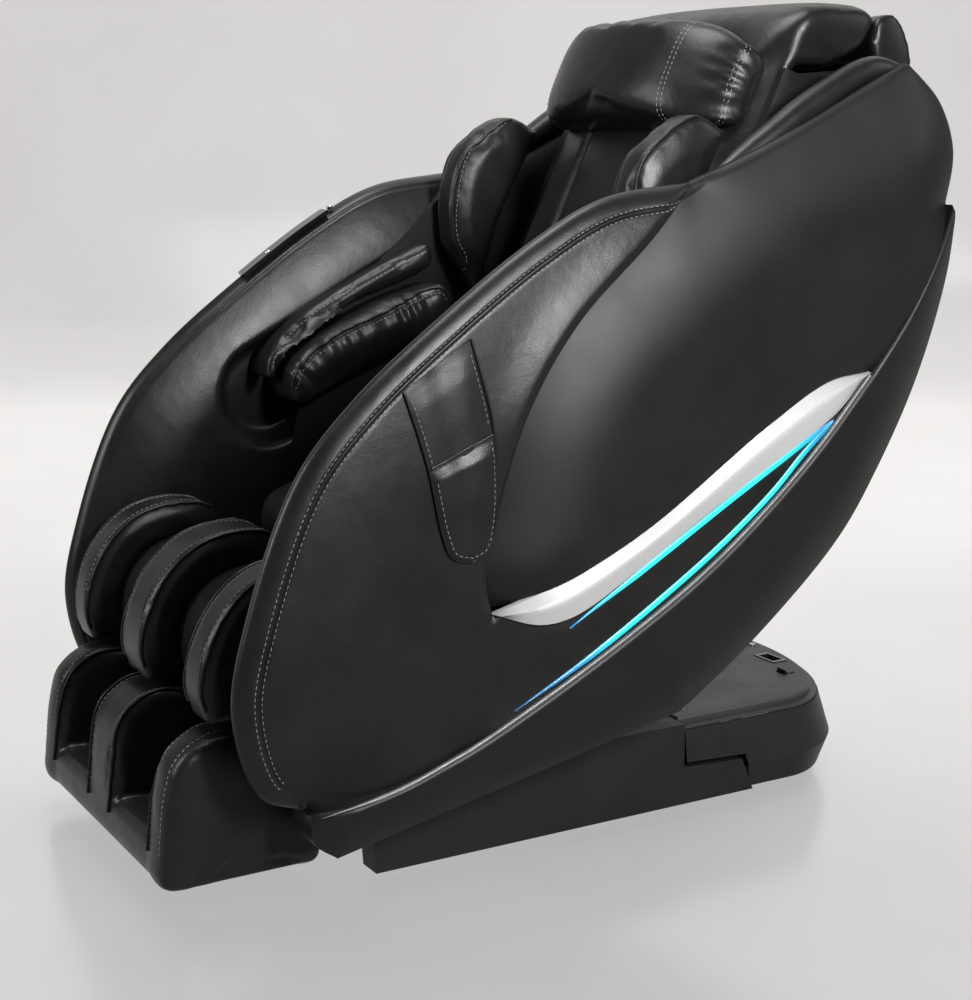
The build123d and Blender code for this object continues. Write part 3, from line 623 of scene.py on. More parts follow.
# ------------------------------------------------------------------ side assemblies
COLUMNS = 150
FRONT_LINE = joined([LEAF_FRONT], COLUMNS)
SEAM_LINE = beside(FRONT_LINE, -28.0)
ARM_BACK = joined([RIDGE_LOW, PANEL_FRONT, back(CREASE)], COLUMNS)
CREASE_LINE = joined([CREASE], COLUMNS)
SHELL_LOW = joined([CREASE, TRIM_UPPER], COLUMNS)
SHELL_HIGH = joined([PETAL_TOP, PETAL_REAR, back(RIDGE_HIGH)], COLUMNS)
PETAL_LINE = joined([PETAL_TOP, PETAL_REAR], COLUMNS)
PETAL_HIGH = joined([PETAL_TOP], 80)
PETAL_LOW = joined([PETAL_REAR], 80)
TRIM_HIGH = joined([TRIM_UPPER], COLUMNS)
TRIM_LOW = joined([TRIM_LOWER], COLUMNS)
LIGHT_EDGE = joined([PANEL_FRONT, TRIM_LOWER], COLUMNS)
LIGHT_RIDGE = joined([RIDGE_MIDDLE], COLUMNS)
PANEL_LINE = joined([PANEL_FRONT], 40)
RIDGE_LINE = joined([RIDGE_LOW, RIDGE_MIDDLE, RIDGE_HIGH], COLUMNS)
SILL_EDGE = joined([back(LEAF_NOSE), back(LEAF_BOTTOM), back(LEAF_REAR)], COLUMNS)
RECESS_AXIS = smooth_line([(-215, 600), (95, 772)], 20)
RIDGE_UP = joined([RIDGE_HIGH], 80)


def arm_outer(at):
    """Outer face of the leather arm: a rolled edge, a welted seam and a flare at the crease."""
    rim = distance_to(FRONT_LINE, at)
    crease = distance_to(CREASE_LINE, at)
    x = RIM_X + 14 * roll(rim, 26) + 20 * ease_in(rim, 190)
    x += 10 * dent(crease, 42) * step_up(at[:, 1], 480, 700)
    x -= 6 * dent(crease, 7)
    return x - 2.6 * dent(distance_to(SEAM_LINE, at), 3.2) * step_up(rim, 6, 16)


def arm_inner(at):
    """Inner face of the arm: a deep padded roll and the recess for the forearm."""
    rim = distance_to(FRONT_LINE, at)
    x = RIM_X - 16 * roll(rim, 16) - (RIM_X - 16 - LINER_X) * ease_in(rim, 120, 1.7)
    x += 38 * step_up(88 - distance_to(RECESS_AXIS, at), 0, 26)
    return x + 2.0 * dent(rim - 13, 2.2)


def nearest_of(*distances):
    """The least of some distances, rounded off where they are alike."""
    total = sum(np.exp(-d / 24) for d in distances)
    return np.maximum(-24 * np.log(total), 0)


def shell_outer(at):
    """Outer face of the rear shell: sunk at the crease, then domed from all its edges."""
    top = distance_to(PETAL_HIGH, at)
    rear_top = distance_to(PETAL_LOW, at)
    crease = distance_to(CREASE_LINE, at)
    trim = distance_to(TRIM_HIGH, at)
    rear = distance_to(RIDGE_UP, at)
    x = RIM_X - 4 + 12 * roll(np.minimum(np.minimum(top, rear_top), crease + 6), 12)
    x += 40 * ease_in(nearest_of(top, rear_top, crease), 140, 1.8)
    x -= 7 * (1 - ease_in(trim, 60))
    return x - 5 * (1 - ease_in(rear, 60))


def shell_inner(at):
    """Inner face of the rear shell."""
    rim = np.minimum(distance_to(PETAL_LINE, at), distance_to(RIDGE_UP, at))
    return RIM_X - 48 * roll(rim, 60)


def light_outer(at):
    """Light panel, sunk below the silver blade and rising to the sill's ridge."""
    ridge = distance_to(LIGHT_RIDGE, at)
    trim = distance_to(TRIM_LOW, at)
    own = 374 + 5 * (1 - ease_in(ridge, 50)) - 3 * dent(trim, 12)
    share = step_up(distance_to(PANEL_LINE, at), 0, 70)
    return arm_outer(at) * (1 - share) + own * share


def sill_outer(at):
    """Sill band: a crisp ridge above and a soft turn below."""
    ridge = distance_to(RIDGE_LINE, at)
    edge = distance_to(SILL_EDGE, at)
    return 388 - 24 * (1 - ease_in(edge, 90)) - 10 * (1 - roll(ridge, 9))


def blade_outer(at):
    """Silver blade with a ridge between an upper facet and a lower one."""
    up, down = distance_to(TRIM_HIGH, at), distance_to(TRIM_LOW, at)
    share = up / np.maximum(up + down, 1e-6)
    return 372 + 14 * np.minimum(share / 0.42, 1) - 9 * np.maximum((share - 0.42) / 0.58, 0)


def constant(x):
    """A flat limit."""
    return lambda at: np.full(len(at), float(x))


def build_side(name, side):
    """All fixed skins of one side of the chair."""
    panel = side_form("arm_panel_skin_" + name, side, [FRONT_LINE, SEAM_LINE, ARM_BACK], [14, 46],
                      arm_outer, constant(RIM_X))
    finish_piece(panel, "black_leather", "seat", "arm_panel_" + name)
    liner = side_form("arm_liner_skin_" + name, side, [FRONT_LINE, ARM_BACK], [60],
                      constant(RIM_X), arm_inner)
    finish_piece(liner, "black_leather", "seat", "arm_liner_" + name)
    shell = side_form("rear_shell_skin_" + name, side, [SHELL_LOW, SHELL_HIGH], [64],
                      shell_outer, shell_inner)
    finish_piece(shell, "shell_plastic", "seat", "rear_shell_" + name)
    light = side_form("light_panel_" + name, side, [LIGHT_EDGE, LIGHT_RIDGE], [30],
                      light_outer, constant(340))
    finish_piece(light, "black_leather", "seat")
    sill = side_form("sill_skin_" + name, side, [RIDGE_LINE, SILL_EDGE], [40],
                     sill_outer, constant(306))
    finish_piece(sill, "sill_plastic", "seat", "sill_panel_" + name)
    blade = side_form("silver_blade_" + name, side, [TRIM_HIGH, TRIM_LOW], [16],
                      blade_outer, constant(362))
    finish_piece(blade, "silver_plastic", "seat", "silver_trim_" + name)
    path = joined([RIDGE_LOW, RIDGE_MIDDLE], COLUMNS)
    bead = np.column_stack([np.full(COLUMNS, 383.0 * side), path])[1:-1]
    # A bead along the sill's ridge, painted lighter as a painted highlight where the ridge catches the
    # light.
    edge = tube("sill_highlight_bead_" + name, bead, 3.8 * np.clip(np.linspace(0, 12, len(bead)), 0.1, 1))
    finish_piece(edge, "sill_plastic", "seat")
    paint(edge, HIGHLIGHT_BEAD)
    light_lines(name, side)
    petal_pad(name, side)
    tree = surface_tree(panel)
    for row, offset in enumerate((-23.5, -32.5)):
        path = beside(FRONT_LINE, offset)[6:-3]
        line, facing = laid_on(tree, [(500 * side, y, z) for y, z in path], (-side, 0, 0), 0.2)
        trim_thread(stitches(f"arm_stitch_{name}_{row}", line, facing), "seat")


LIGHT_TIP = (384, 597)
LIGHT_HIGH = [(-68, 349), (50, 413), (185, 489), (300, 552), (350, 580), LIGHT_TIP]
LIGHT_LOW = [(-158, 247), (-27, 310), (126, 399), (200, 448), (275, 505), (335, 560), LIGHT_TIP]


def light_lines(name, side):
    """The two lit lines under the silver blade, meeting in a point at the rear."""
    for label, points in (("high", LIGHT_HIGH), ("low", LIGHT_LOW)):
        path = smooth_line(points, 140)
        share = np.linspace(0, 1, len(path))
        width = 4.6 * np.clip(share * 4, 0.12, 1) ** 0.7
        turn = np.linspace(0, 2 * math.pi, 10, endpoint=False)
        along = np.gradient(path, axis=0)
        along /= np.linalg.norm(along, axis=1)[:, None]
        across = np.column_stack([-along[:, 1], along[:, 0]])
        x = light_outer(path)
        rings = [np.column_stack([(x[i] + 1.8 * np.sin(turn)) * side,
                                  path[i] + across[i] * (w * np.cos(turn))[:, None]])
                 for i, w in enumerate(width)]
        piece = ring_piece(f"light_line_{label}_{name}", rings)
        nodes = ["led_strip_" + name] if label == "high" else []
        finish_piece(piece, "light_guide", "seat", *nodes)


def petal_pad(name, side):
    """Leather roll along the inside of the rear shell's top edge."""
    path = smooth_line([(170, 925), (270, 986), (380, 1052), (480, 1098), (556, 1092)], 60)
    share = np.linspace(0, 1, len(path))
    size = np.sin(math.pi * np.clip(share, 0.02, 0.98)) ** 0.4
    turn = np.linspace(0, 2 * math.pi, 20, endpoint=False)
    rings = [np.column_stack([(319 + 22 * w * np.cos(turn)) * side, np.full(20, y),
                              z + 2 + 26 * w * np.sin(turn)]) for (y, z), w in zip(path, size)]
    piece = ring_piece("petal_pad_" + name, rings)
    finish_piece(piece, "black_leather", "seat")


POCKET_LEFT = [(-314, 690), (-286, 592), (-266, 500), (-252, 470), (-224, 461)]
POCKET_RIGHT = [(-217, 752), (-192, 640), (-187, 510), (-198, 473), (-224, 461)]
POCKET_MOUTH = 0.40             # share of the strap's length above the pouch


def strap_layer(name, start, lift, swell, thickness):
    """One leather layer of the remote pocket from a share of its length to its foot."""
    left = smooth_line(POCKET_LEFT, 201)[int(start * 200):]
    right = smooth_line(POCKET_RIGHT, 201)[int(start * 200):]
    left, right = respaced(left, 70), respaced(right, 70)
    rows = []
    run = np.linspace(0, 1, 70)
    ends = np.clip(run * 8, 0.25, 1) * np.clip((1 - run) * 5, 0, 1)
    for share in np.linspace(0, 1, 24):
        at = left + (right - left) * share
        pull = np.sin(math.pi * share) ** 0.5 * ends
        fold = 1.3 * np.sin(share * 9 + run * 4) * math.sin(math.pi * share) * (1 - run)
        x = arm_outer(at) + lift + swell * pull + fold
        rows.append(np.column_stack([x, at]))
    under = [row - [thickness, 0, 0] for row in rows[::-1]]
    return layer_piece(name, rows + under)


def remote_pocket():
    """Leather strap on the left arm with a stitched, bound pouch for the remote control."""
    strap = strap_layer("pocket_strap", 0.0, 1.6, 3.0, 2.0)
    finish_piece(strap, "black_leather", "seat", "remote_pocket")
    pouch = strap_layer("pocket_pouch", POCKET_MOUTH, 3.6, 6.5, 2.0)
    finish_piece(pouch, "black_leather", "seat")
    strap_tree, pouch_tree = surface_tree(strap), surface_tree(pouch)
    left, right = smooth_line(POCKET_LEFT, 120), smooth_line(POCKET_RIGHT, 120)
    edge = np.vstack([left, right[::-1][1:]])
    edge = respaced(edge, 240)
    bound = np.column_stack([arm_outer(edge) + 3.0, edge])
    welt_piece = tube("pocket_binding", bound, 1.9)
    finish_piece(welt_piece, "black_leather", "seat")
    inset = beside(edge, 6.5)[4:-4]
    split = int(len(inset) * POCKET_MOUTH / 2)
    rows = {"front": (strap_tree, inset[:split]), "foot": (pouch_tree, inset[split:-split]),
            "rear": (strap_tree, inset[-split:])}
    for name, (tree, path) in rows.items():
        line = np.array([(450, y, z) for y, z in path])
        sewn("pocket_stitch_" + name, tree, line, (-1, 0, 0), "seat")
    first = left[int(POCKET_MOUTH * 119)] + [1, 0]
    last = right[int(POCKET_MOUTH * 119)] - [1, 0]
    mouth = np.array([(450, *(first + (last - first) * t)) for t in np.linspace(0.03, 0.97, 30)])
    welt("pocket_lip", pouch_tree, mouth - [0, 0, 2.5], (-1, 0, 0), "seat", 1.8, 0.6)


for side_name, side_sign in SIDES.items():
    build_side(side_name, side_sign)


# ------------------------------------------------------------------ padded pieces
CLOTH_FRAMES = 20
VOXEL = 0.007


def cushion_form(name, loop, x_low, x_high, corner):
    """A closed form from a (y, z) loop given width, its rim rounded by the corner radius."""
    loop = np.asarray(loop, float)
    area = 0.5 * np.sum(loop[:, 0] * np.roll(loop[:, 1], -1) - loop[:, 1] * np.roll(loop[:, 0], -1))
    loop = loop if area > 0 else loop[::-1]
    turns = np.linspace(0, math.pi / 2, 5)
    low = [(x_low + corner * (1 - math.cos(t)), corner * (1 - math.sin(t))) for t in turns]
    high = [(x_high - (x - x_low), inset) for x, inset in low][::-1]
    rings = [np.column_stack([np.full(len(loop), x), shrunk(loop, inset)]) for x, inset in low + high]
    return ring_piece(name, rings)


def remeshed(piece, voxel=VOXEL):
    """The piece as an even mesh."""
    modifier = piece.modifiers.new("even", "REMESH")
    modifier.mode = "VOXEL"
    modifier.voxel_size = voxel
    return applied(piece)


def inflated(piece, cap, pressure=4.0, voxel=VOXEL):
    """Blows the padding up as cloth, moving no point further than cap millimetres."""
    remeshed(piece, voxel)
    rest = coordinates(piece)
    cloth = piece.modifiers.new("cloth", "CLOTH")
    cloth.settings.use_pressure = True
    cloth.settings.uniform_pressure_force = pressure
    cloth.settings.effector_weights.gravity = 0
    cloth.settings.tension_stiffness = 12
    cloth.settings.quality = 4
    scene = bpy.context.scene
    for step in range(1, CLOTH_FRAMES + 1):
        scene.frame_set(step)
    applied(piece)
    scene.frame_set(1)
    shift = coordinates(piece) - rest
    size = np.linalg.norm(shift, axis=1)
    move_points(piece, rest + shift * (np.minimum(size, cap) / np.maximum(size, 1e-9))[:, None])
    return subdivided(piece)


def subdivided(piece):
    """One subdivision of the piece."""
    modifier = piece.modifiers.new("finer", "SUBSURF")
    modifier.levels = 1
    modifier.render_levels = 1
    return applied(piece)


def press_line(piece, line, depth, width):
    """Draws the surface in along a 3-D line, as a sewn seam does."""
    points = coordinates(piece)
    near = distance_to(np.asarray(line), points)
    move_points(piece, points - normals(piece) * (depth * dent(near, width))[:, None])


def ruck(piece, line, height, pitch, reach):
    """Gathers the surface along a 3-D line into soft uneven folds square to it."""
    points = coordinates(piece)
    away, run = nearest(np.asarray(line), points)
    wave = np.sin(run * 2 * math.pi / pitch + 1.5 * np.sin(run / pitch * 1.7))
    lift = height * wave * dent(away, reach) * (0.7 + 0.3 * np.sin(run / pitch * 0.9 + 1))
    move_points(piece, points + normals(piece) * lift[:, None])


def loop_of(edges, count=110):
    """A closed (y, z) loop from edges that meet end to end."""
    return joined(edges, count)[:-1]


def welt(name, tree, line, way, body, radius=2.4, lift=0.6):
    """A piped cord laid on a padded surface, left out where the line misses the surface."""
    spots, _ = laid_on(tree, line, way, lift)
    if len(spots) < 4:
        return None
    piece = tube(name, respaced(spots, len(spots)), radius)
    finish_piece(piece, "black_leather", body)
    return piece


def sewn(name, tree, line, way, body, rows=(0.0,)):
    """Rows of stitches laid on a padded surface."""
    spots, facing = laid_on(tree, line, way, 0.2)
    for number, shift in enumerate(rows):
        trim_thread(stitches(f"{name}_{number}", spots, facing, shift), body)


def seat_pad():
    """Seat cushion with two pressed and stitched seams running front to back."""
    loop = loop_of([[(-246, 356), (-256, 400), (-246, 440), (-205, 456)],
                    [(-205, 456), (-80, 441), (18, 421)], [(18, 421), (36, 400), (34, 356)],
                    [(34, 356), (-246, 356)]])
    piece = cushion_form("seat_pad", loop, -276, 276, 14)
    inflated(piece, 14)
    for x in (-150, 150):
        press_line(piece, smooth_line([(x, -300, 440), (x, -200, 460), (x, 60, 420)], 20), 7, 9)
    finish_piece(piece, "black_leather", "seat", "seat_cushion")
    tree = surface_tree(piece)
    for number, x in enumerate((-150, 150)):
        line = smooth_line([(x, -235, 500), (x, 30, 500)], 60)
        sewn(f"seat_stitch_{number}", tree, line, (0, 0, -1), "seat", (-4, 4))


BACK_WAY = (0, math.cos(BACK_LEAN), -math.sin(BACK_LEAN))   # from the sitter into the backrest


def back_point(x, along, forward):
    """A 3-D point measured up the backrest and forward of it."""
    return (x, *on_back(along, forward))


def back_front(x):
    """How far forward the crowned front of the backrest is at x."""
    return 124 - 54 * (abs(x) / 266) ** 2.3


def back_pad():
    """Backrest pad, crowned across, with its sewn centre panel and piped borders."""
    loop = loop_of([[on_back(66, 66), on_back(64, 108), on_back(82, 120)],
                    [on_back(82, 120), on_back(450, 121), on_back(780, 121)],
                    [on_back(780, 121), on_back(834, 116), (374, 1188), (460, 1197)],
                    [(460, 1197), (538, 1189), (560, 1172)],
                    [(560, 1172), on_back(874, -66)],
                    [on_back(874, -66), on_back(824, 4), on_back(804, 54)],
                    [on_back(804, 54), on_back(66, 66)]], 150)
    piece = cushion_form("back_pad", loop, -264, 264, 26)
    remeshed(piece, 0.009)
    points = coordinates(piece)
    forward = -(points[:, 1:] - HIP) @ [math.cos(BACK_LEAN), -math.sin(BACK_LEAN)]
    fall = np.clip((forward - 52) / 70, 0, 1) * (124 - back_front(points[:, 0]))
    points[:, 1] += fall * math.cos(BACK_LEAN)
    points[:, 2] -= fall * math.sin(BACK_LEAN)
    move_points(piece, points)
    inflated(piece, 9, voxel=0.008)
    for x in (-95, 95):
        line = [back_point(x, along, 128) for along in (80, 250, 450, 640, 780)]
        press_line(piece, smooth_line(line, 60), 8, 10)
    finish_piece(piece, "black_leather", "backrest", "backrest_pad")
    tree = surface_tree(piece)
    for number, x in enumerate((-95, 95)):
        line = smooth_line([back_point(x, along, 300) for along in (90, 450, 800)], 150)
        sewn(f"back_stitch_{number}", tree, line, BACK_WAY, "backrest", (-4.5, 4.5))
    for number, side in enumerate((-1, 1)):
        line = smooth_line([back_point(258 * side, along, 300) for along in (80, 450, 850)], 150)
        welt(f"back_welt_{number}", tree, line, BACK_WAY, "backrest", 2.4, 0.6)
        gusset(number, side)


def back_top_cover():
    """Leather that closes the backrest behind its pad, down to the rear cover."""
    rows = []
    for x in np.linspace(-262, 262, 40):
        sag = 6 * (1 - (x / 262) ** 2)
        profile = smooth_line([(552, 1182), (586, 1184), (612, 1150), (622, 1110),
                               (606, 1090), (560, 1100), (540, 1140)], 40)
        shell = profile + [sag - 6, 0]
        rows.append(np.column_stack([np.full(40, x), shell]))
    piece = ring_piece("back_top_cover", rows)
    inflated(piece, 4, voxel=0.008)
    finish_piece(piece, "black_leather", "backrest")


GUSSET_REAR = -112.0


def gusset_row(x, forward, count):
    """Points up the side of the backrest, ending just inside its sloping top."""
    top = np.interp(forward, (-112, -72, 0, 50, 72), (870, 866, 808, 788, 786))
    return np.array([back_point(x, along, forward) for along in np.linspace(72, top, count)])


def gusset(number, side):
    """Leather side panel that closes the backrest between its pad and its rear cover."""
    count = 60
    rows = []
    for share in np.linspace(0, 1, 26):
        forward = 72 + (GUSSET_REAR - 72) * share
        swell = 5 * math.sin(math.pi * share) ** 0.6 - 3 * dent(np.array(forward + 31), 5)
        rows.append(gusset_row((264 + swell) * side, forward, count))
    for share in np.linspace(1, 0, 6):
        rows.append(gusset_row(250 * side, 72 + (GUSSET_REAR - 72) * share, count))
    piece = layer_piece(f"back_gusset_{number}", rows)
    finish_piece(piece, "black_leather", "backrest")
    tree = surface_tree(piece)
    line = smooth_line([(400 * side, *on_back(a, -31)) for a in (90, 450, 830)], 140)
    welt(f"gusset_welt_{number}", tree, line, (-side, 0, 0), "backrest", 2.3, 1.2)
    beyond = smooth_line([(400 * side, *on_back(a, -22)) for a in (90, 450, 824)], 140)
    sewn(f"gusset_stitch_{number}", tree, beyond, (-side, 0, 0), "backrest")


PILLOW_HALF = 228.0
PILLOW_SEAMS = (-172, 150)


def pillow():
    """Head pillow: a plump crowned bolster with sewn side panels, gathered along its top and at one end.
    """
    points = []
    turn = np.linspace(0, 2 * math.pi, 72, endpoint=False)
    stations = PILLOW_HALF * np.sin(np.linspace(-math.pi / 2, math.pi / 2, 61))
    for x in stations:
        full = max(0.0, 1 - abs(x / PILLOW_HALF) ** 3.2) ** 0.5
        rear = back_front(x) - 14
        front = back_front(x) + 18 + 62 * full
        middle, half = (front + rear) / 2, (front - rear) / 2
        tall = 92 * (0.55 + 0.45 * full)
        along = 742 + tall * np.sign(np.sin(turn)) * np.abs(np.sin(turn)) ** 0.62
        forward = middle + half * np.sign(np.cos(turn)) * np.abs(np.cos(turn)) ** 0.62
        points.append(np.array([back_point(x, a, f) for a, f in zip(along, forward)]))
    piece = ring_piece("pillow", points)
    inflated(piece, 9, pressure=6, voxel=0.006)
    section = ((648, 130), (640, 180), (742, 215), (846, 180), (838, 130))
    for x in PILLOW_SEAMS:
        ring = [back_point(x, along, forward) for along, forward in section]
        press_line(piece, smooth_line(ring, 60), 5, 6)
    ruck(piece, smooth_line([back_point(x, 838, 165) for x in (-120, 0, 110)], 50), 3.0, 37, 34)
    edge = smooth_line([back_point(212, a, f) for a, f in ((660, 110), (742, 128), (830, 112))], 50)
    press_line(piece, edge, 4, 6)
    ruck(piece, edge, 3.2, 26, 26)
    finish_piece(piece, "black_leather", "backrest", "head_pillow")
    tree = surface_tree(piece)
    for number, x in enumerate(PILLOW_SEAMS):
        line = smooth_line([back_point(x, along, 320) for along in (656, 742, 834)], 60)
        sewn(f"pillow_stitch_{number}", tree, line, BACK_WAY, "backrest", (-3.5, 3.5))
    for number, side in enumerate((-1, 1)):
        line = smooth_line([back_point(400 * side, a, f) for a, f in
                            ((664, 112), (742, 126), (824, 114))], 50)
        sewn(f"pillow_end_stitch_{number}", tree, line, (-side, 0, 0), "backrest", (-3.5, 3.5))


def wing(name, side):
    """Shoulder wing with a piped rim."""
    loop = loop_of([[on_back(362, 134), (114, 780), (88, 832)],
                    [(88, 832), (84, 900), (104, 974), (154, 1020)],
                    [(154, 1020), (200, 1038), on_back(660, 136)],
                    [on_back(660, 136), on_back(362, 134)]])
    low, high = sorted((226 * side, 280 * side))
    piece = cushion_form("wing_" + name, loop, low, high, 12)
    inflated(piece, 8)
    finish_piece(piece, "black_leather", "backrest", "shoulder_wing_" + name)
    rim = smooth_line([(114, 786), (84, 832), (80, 900), (102, 980), (150, 1026), (200, 1040)], 90)
    tree = surface_tree(piece)
    for number, x in enumerate((231, 275)):
        outward = np.array([(x * side, y - 120, z + 30) for y, z in rim])
        welt(f"wing_welt_{name}_{number}", tree, outward, (0, 1, -0.25), "backrest", 2.3, 0.4)
    inset = beside(rim, -16)
    inner = np.array([(60 * side, y, z) for y, z in inset])
    sewn(f"wing_stitch_{name}", tree, inner, (side, 0, 0), "backrest")


UPPER_PAD = [[(-234, 626), (-228, 660), (-166, 724)], [(-166, 724), (-40, 788), (58, 832)],
             [(58, 832), (68, 815), (62, 794)], [(62, 794), (-60, 754), (-152, 716)],
             [(-152, 716), (-206, 666), (-219, 626)], [(-219, 626), (-234, 626)]]
LOWER_PAD = [[(-206, 606), (-206, 642), (-146, 694)], [(-146, 694), (-40, 736), (70, 770)],
             [(70, 770), (86, 740), (74, 696)], [(74, 696), (-60, 646), (-178, 591)],
             [(-178, 591), (-196, 592), (-206, 606)]]


def arm_pads(name, side):
    """Upper and lower forearm pads of one arm, the lower one piped and gathered."""
    low, high = sorted((250 * side, 322 * side))
    upper = cushion_form("arm_pad_high_" + name, loop_of(UPPER_PAD), low, high, 8)
    inflated(upper, 5, voxel=0.005)
    finish_piece(upper, "black_leather", "seat", "arm_pad_upper_" + name)
    top = [(-226, 640), (-220, 664), (-160, 722), (-40, 780), (52, 822)]
    line = smooth_line([(150 * side, y, z) for y, z in top], 90)
    sewn("arm_pad_high_stitch_" + name, surface_tree(upper), line, (side, 0, 0), "seat")
    low, high = sorted((218 * side, 322 * side))
    lower = cushion_form("arm_pad_low_" + name, loop_of(LOWER_PAD), low, high, 12)
    inflated(lower, 7, voxel=0.006)
    rim = [(-204, 612), (-200, 640), (-142, 688), (-40, 728), (64, 762), (80, 738)]
    ruck(lower, smooth_line([(222 * side, y, z - 14) for y, z in rim[1:5]], 70), 2.2, 31, 24)
    finish_piece(lower, "black_leather", "seat", "arm_pad_lower_" + name)
    tree = surface_tree(lower)
    line = smooth_line([(150 * side, y, z) for y, z in rim], 110)
    welt("arm_pad_low_welt_" + name, tree, line, (side, 0, 0), "seat", 2.4, 0.8)
    beyond = np.array([(150 * side, y, z) for y, z in beside(line[:, 1:], -8)])
    sewn("arm_pad_low_stitch_" + name, tree, beyond, (side, 0, 0), "seat")


CALF_FRONT = [(-340, 410), (-354, 448), (-400, 459), (-470, 445), (-520, 405), (-553, 345),
              (-561, 300), (-552, 260)]
CALF_BED = [(-498, 260), (-503, 292), (-493, 347), (-458, 388), (-402, 407), (-340, 402)]
CALF_BACK = [(-340, 388), (-400, 393), (-449, 376), (-480, 341), (-490, 292), (-486, 260)]


def calf_pads():
    """Curved bed of the calf rest and its three padded ridges, piped along both edges."""
    bed = loop_of([CALF_BED, [CALF_BED[-1], CALF_BACK[0]], CALF_BACK, [CALF_BACK[-1], CALF_BED[0]]])
    piece = cushion_form("calf_bed", bed, -262, 262, 5)
    inflated(piece, 4, voxel=0.006)
    finish_piece(piece, "black_leather", "leg_rest", "calf_shell")
    ridge = loop_of([CALF_FRONT, [CALF_FRONT[-1], CALF_BED[0]], CALF_BED, [CALF_BED[-1], CALF_FRONT[0]]])
    ridge = shrunk(ridge[::-1], 2)
    rim = smooth_line(CALF_FRONT, 90)[2:-6]
    spans = {"left": (201, 263), "middle": (-41, 41), "right": (-263, -201)}
    for name, (low, high) in spans.items():
        piece = cushion_form("calf_ridge_" + name, ridge, low, high, 7)
        inflated(piece, 5, voxel=0.005)
        finish_piece(piece, "black_leather", "leg_rest", "calf_pad_" + name)
        tree = surface_tree(piece)
        for number, (x, inwards) in enumerate(((low + 3, 1), (high - 3, -1))):
            outward = np.array([(x, y - 60, z + 60) for y, z in rim])
            welt(f"calf_welt_{name}_{number}", tree, outward, (0, 1, -1), "leg_rest", 2.8, 1.3)
            beyond = outward + [8 * inwards, 0, 0]
            sewn(f"calf_stitch_{name}_{number}", tree, beyond, (0, 1, -1), "leg_rest")


WELL_EDGES = (48.0, 200.0)      # x limits of a foot well
FOOT_RIDGE = [(-623, 62), (-609, 165), (-591, 214), (-548, 243), (-500, 245), (-424, 242)]
FOOT_WELL = [(-623, 62), (-618, 90), (-600, 99), (-520, 88), (-452, 88), (-436, 102), (-430, 200),
             (-424, 242)]
FOOT_UNDER = [(-424, 242), (-396, 226), (-389, 190), (-389, 60), (-396, 40), (-420, 37), (-600, 38),
              (-618, 44), (-623, 62)]


def well_share(x):
    """1 inside a foot well, 0 on the ridges beside it."""
    inside = np.minimum(abs(x) - WELL_EDGES[0], WELL_EDGES[1] - abs(x))
    return float(step_up(inside, -1, 9))


def foot_unit():
    """Foot unit: a padded tub with two open wells, piped and stitched round their rims."""
    ridge, well = smooth_line(FOOT_RIDGE, 70), smooth_line(FOOT_WELL, 70)
    under = smooth_line(FOOT_UNDER, 70)[1:-1]
    stations = np.r_[-262, -260, -254, np.arange(-246, 247, 3.0), 254, 260, 262]
    points = []
    for x in stations:
        share = well_share(x)
        shell = np.vstack([ridge * (1 - share) + well * share, under])
        depth = 262 - abs(x)
        inset = 10 * (1 - float(roll(np.array(depth), 12)))
        middle = np.array([-505, 140])
        shell = shell + (middle - shell) / np.linalg.norm(middle - shell, axis=1)[:, None] * inset
        crown = 3.0 * math.sin(math.pi * min(1, max(0, (abs(x) - 200) / 62)))
        points.append(np.column_stack([np.full(len(shell), x), shell[:, 0] - crown, shell[:, 1]]))
    piece = ring_piece("foot_tub", points)
    inflated(piece, 3.5, voxel=0.005)
    finish_piece(piece, "black_leather", "foot_unit", "foot_shell")
    tree = surface_tree(piece)
    rim = smooth_line(FOOT_RIDGE, 90)[6:-4]
    for side in (-1, 1):
        for name, x in (("in", WELL_EDGES[0] - 4), ("out", WELL_EDGES[1] + 4)):
            label = f"foot_rim_{name}_{'left' if side > 0 else 'right'}"
            outward = np.array([(x * side, y - 60, z + 60) for y, z in rim])
            welt(label, tree, outward, (0, 1, -1), "foot_unit", 2.7, 1.2)
            shift = 7 if name == "out" else -7
            beyond = outward + [shift * side, 0, 0]
            sewn(label + "_stitch", tree, beyond, (0, 1, -1), "foot_unit")
        x = 246 * side
        line = np.array([(x, y - 60, z + 60) for y, z in rim])
        sewn(f"foot_side_stitch_{side + 1}", tree, line, (0, 1, -1), "foot_unit")


remote_pocket()
seat_pad()
back_pad()
back_top_cover()
pillow()
for side_name, side_sign in SIDES.items():
    wing(side_name, side_sign)
    arm_pads(side_name, side_sign)
calf_pads()
foot_unit()


# ------------------------------------------------------------------ floor, light and camera
AZIMUTH = math.radians(59.7)
ELEVATION = math.radians(11.5)
DISTANCE = 2.79
TARGET = Vector((0, 0.018, 0.453))
UNLIT = bpy.data.collections.new("unlit_floor")      # what the chair's own lights leave out


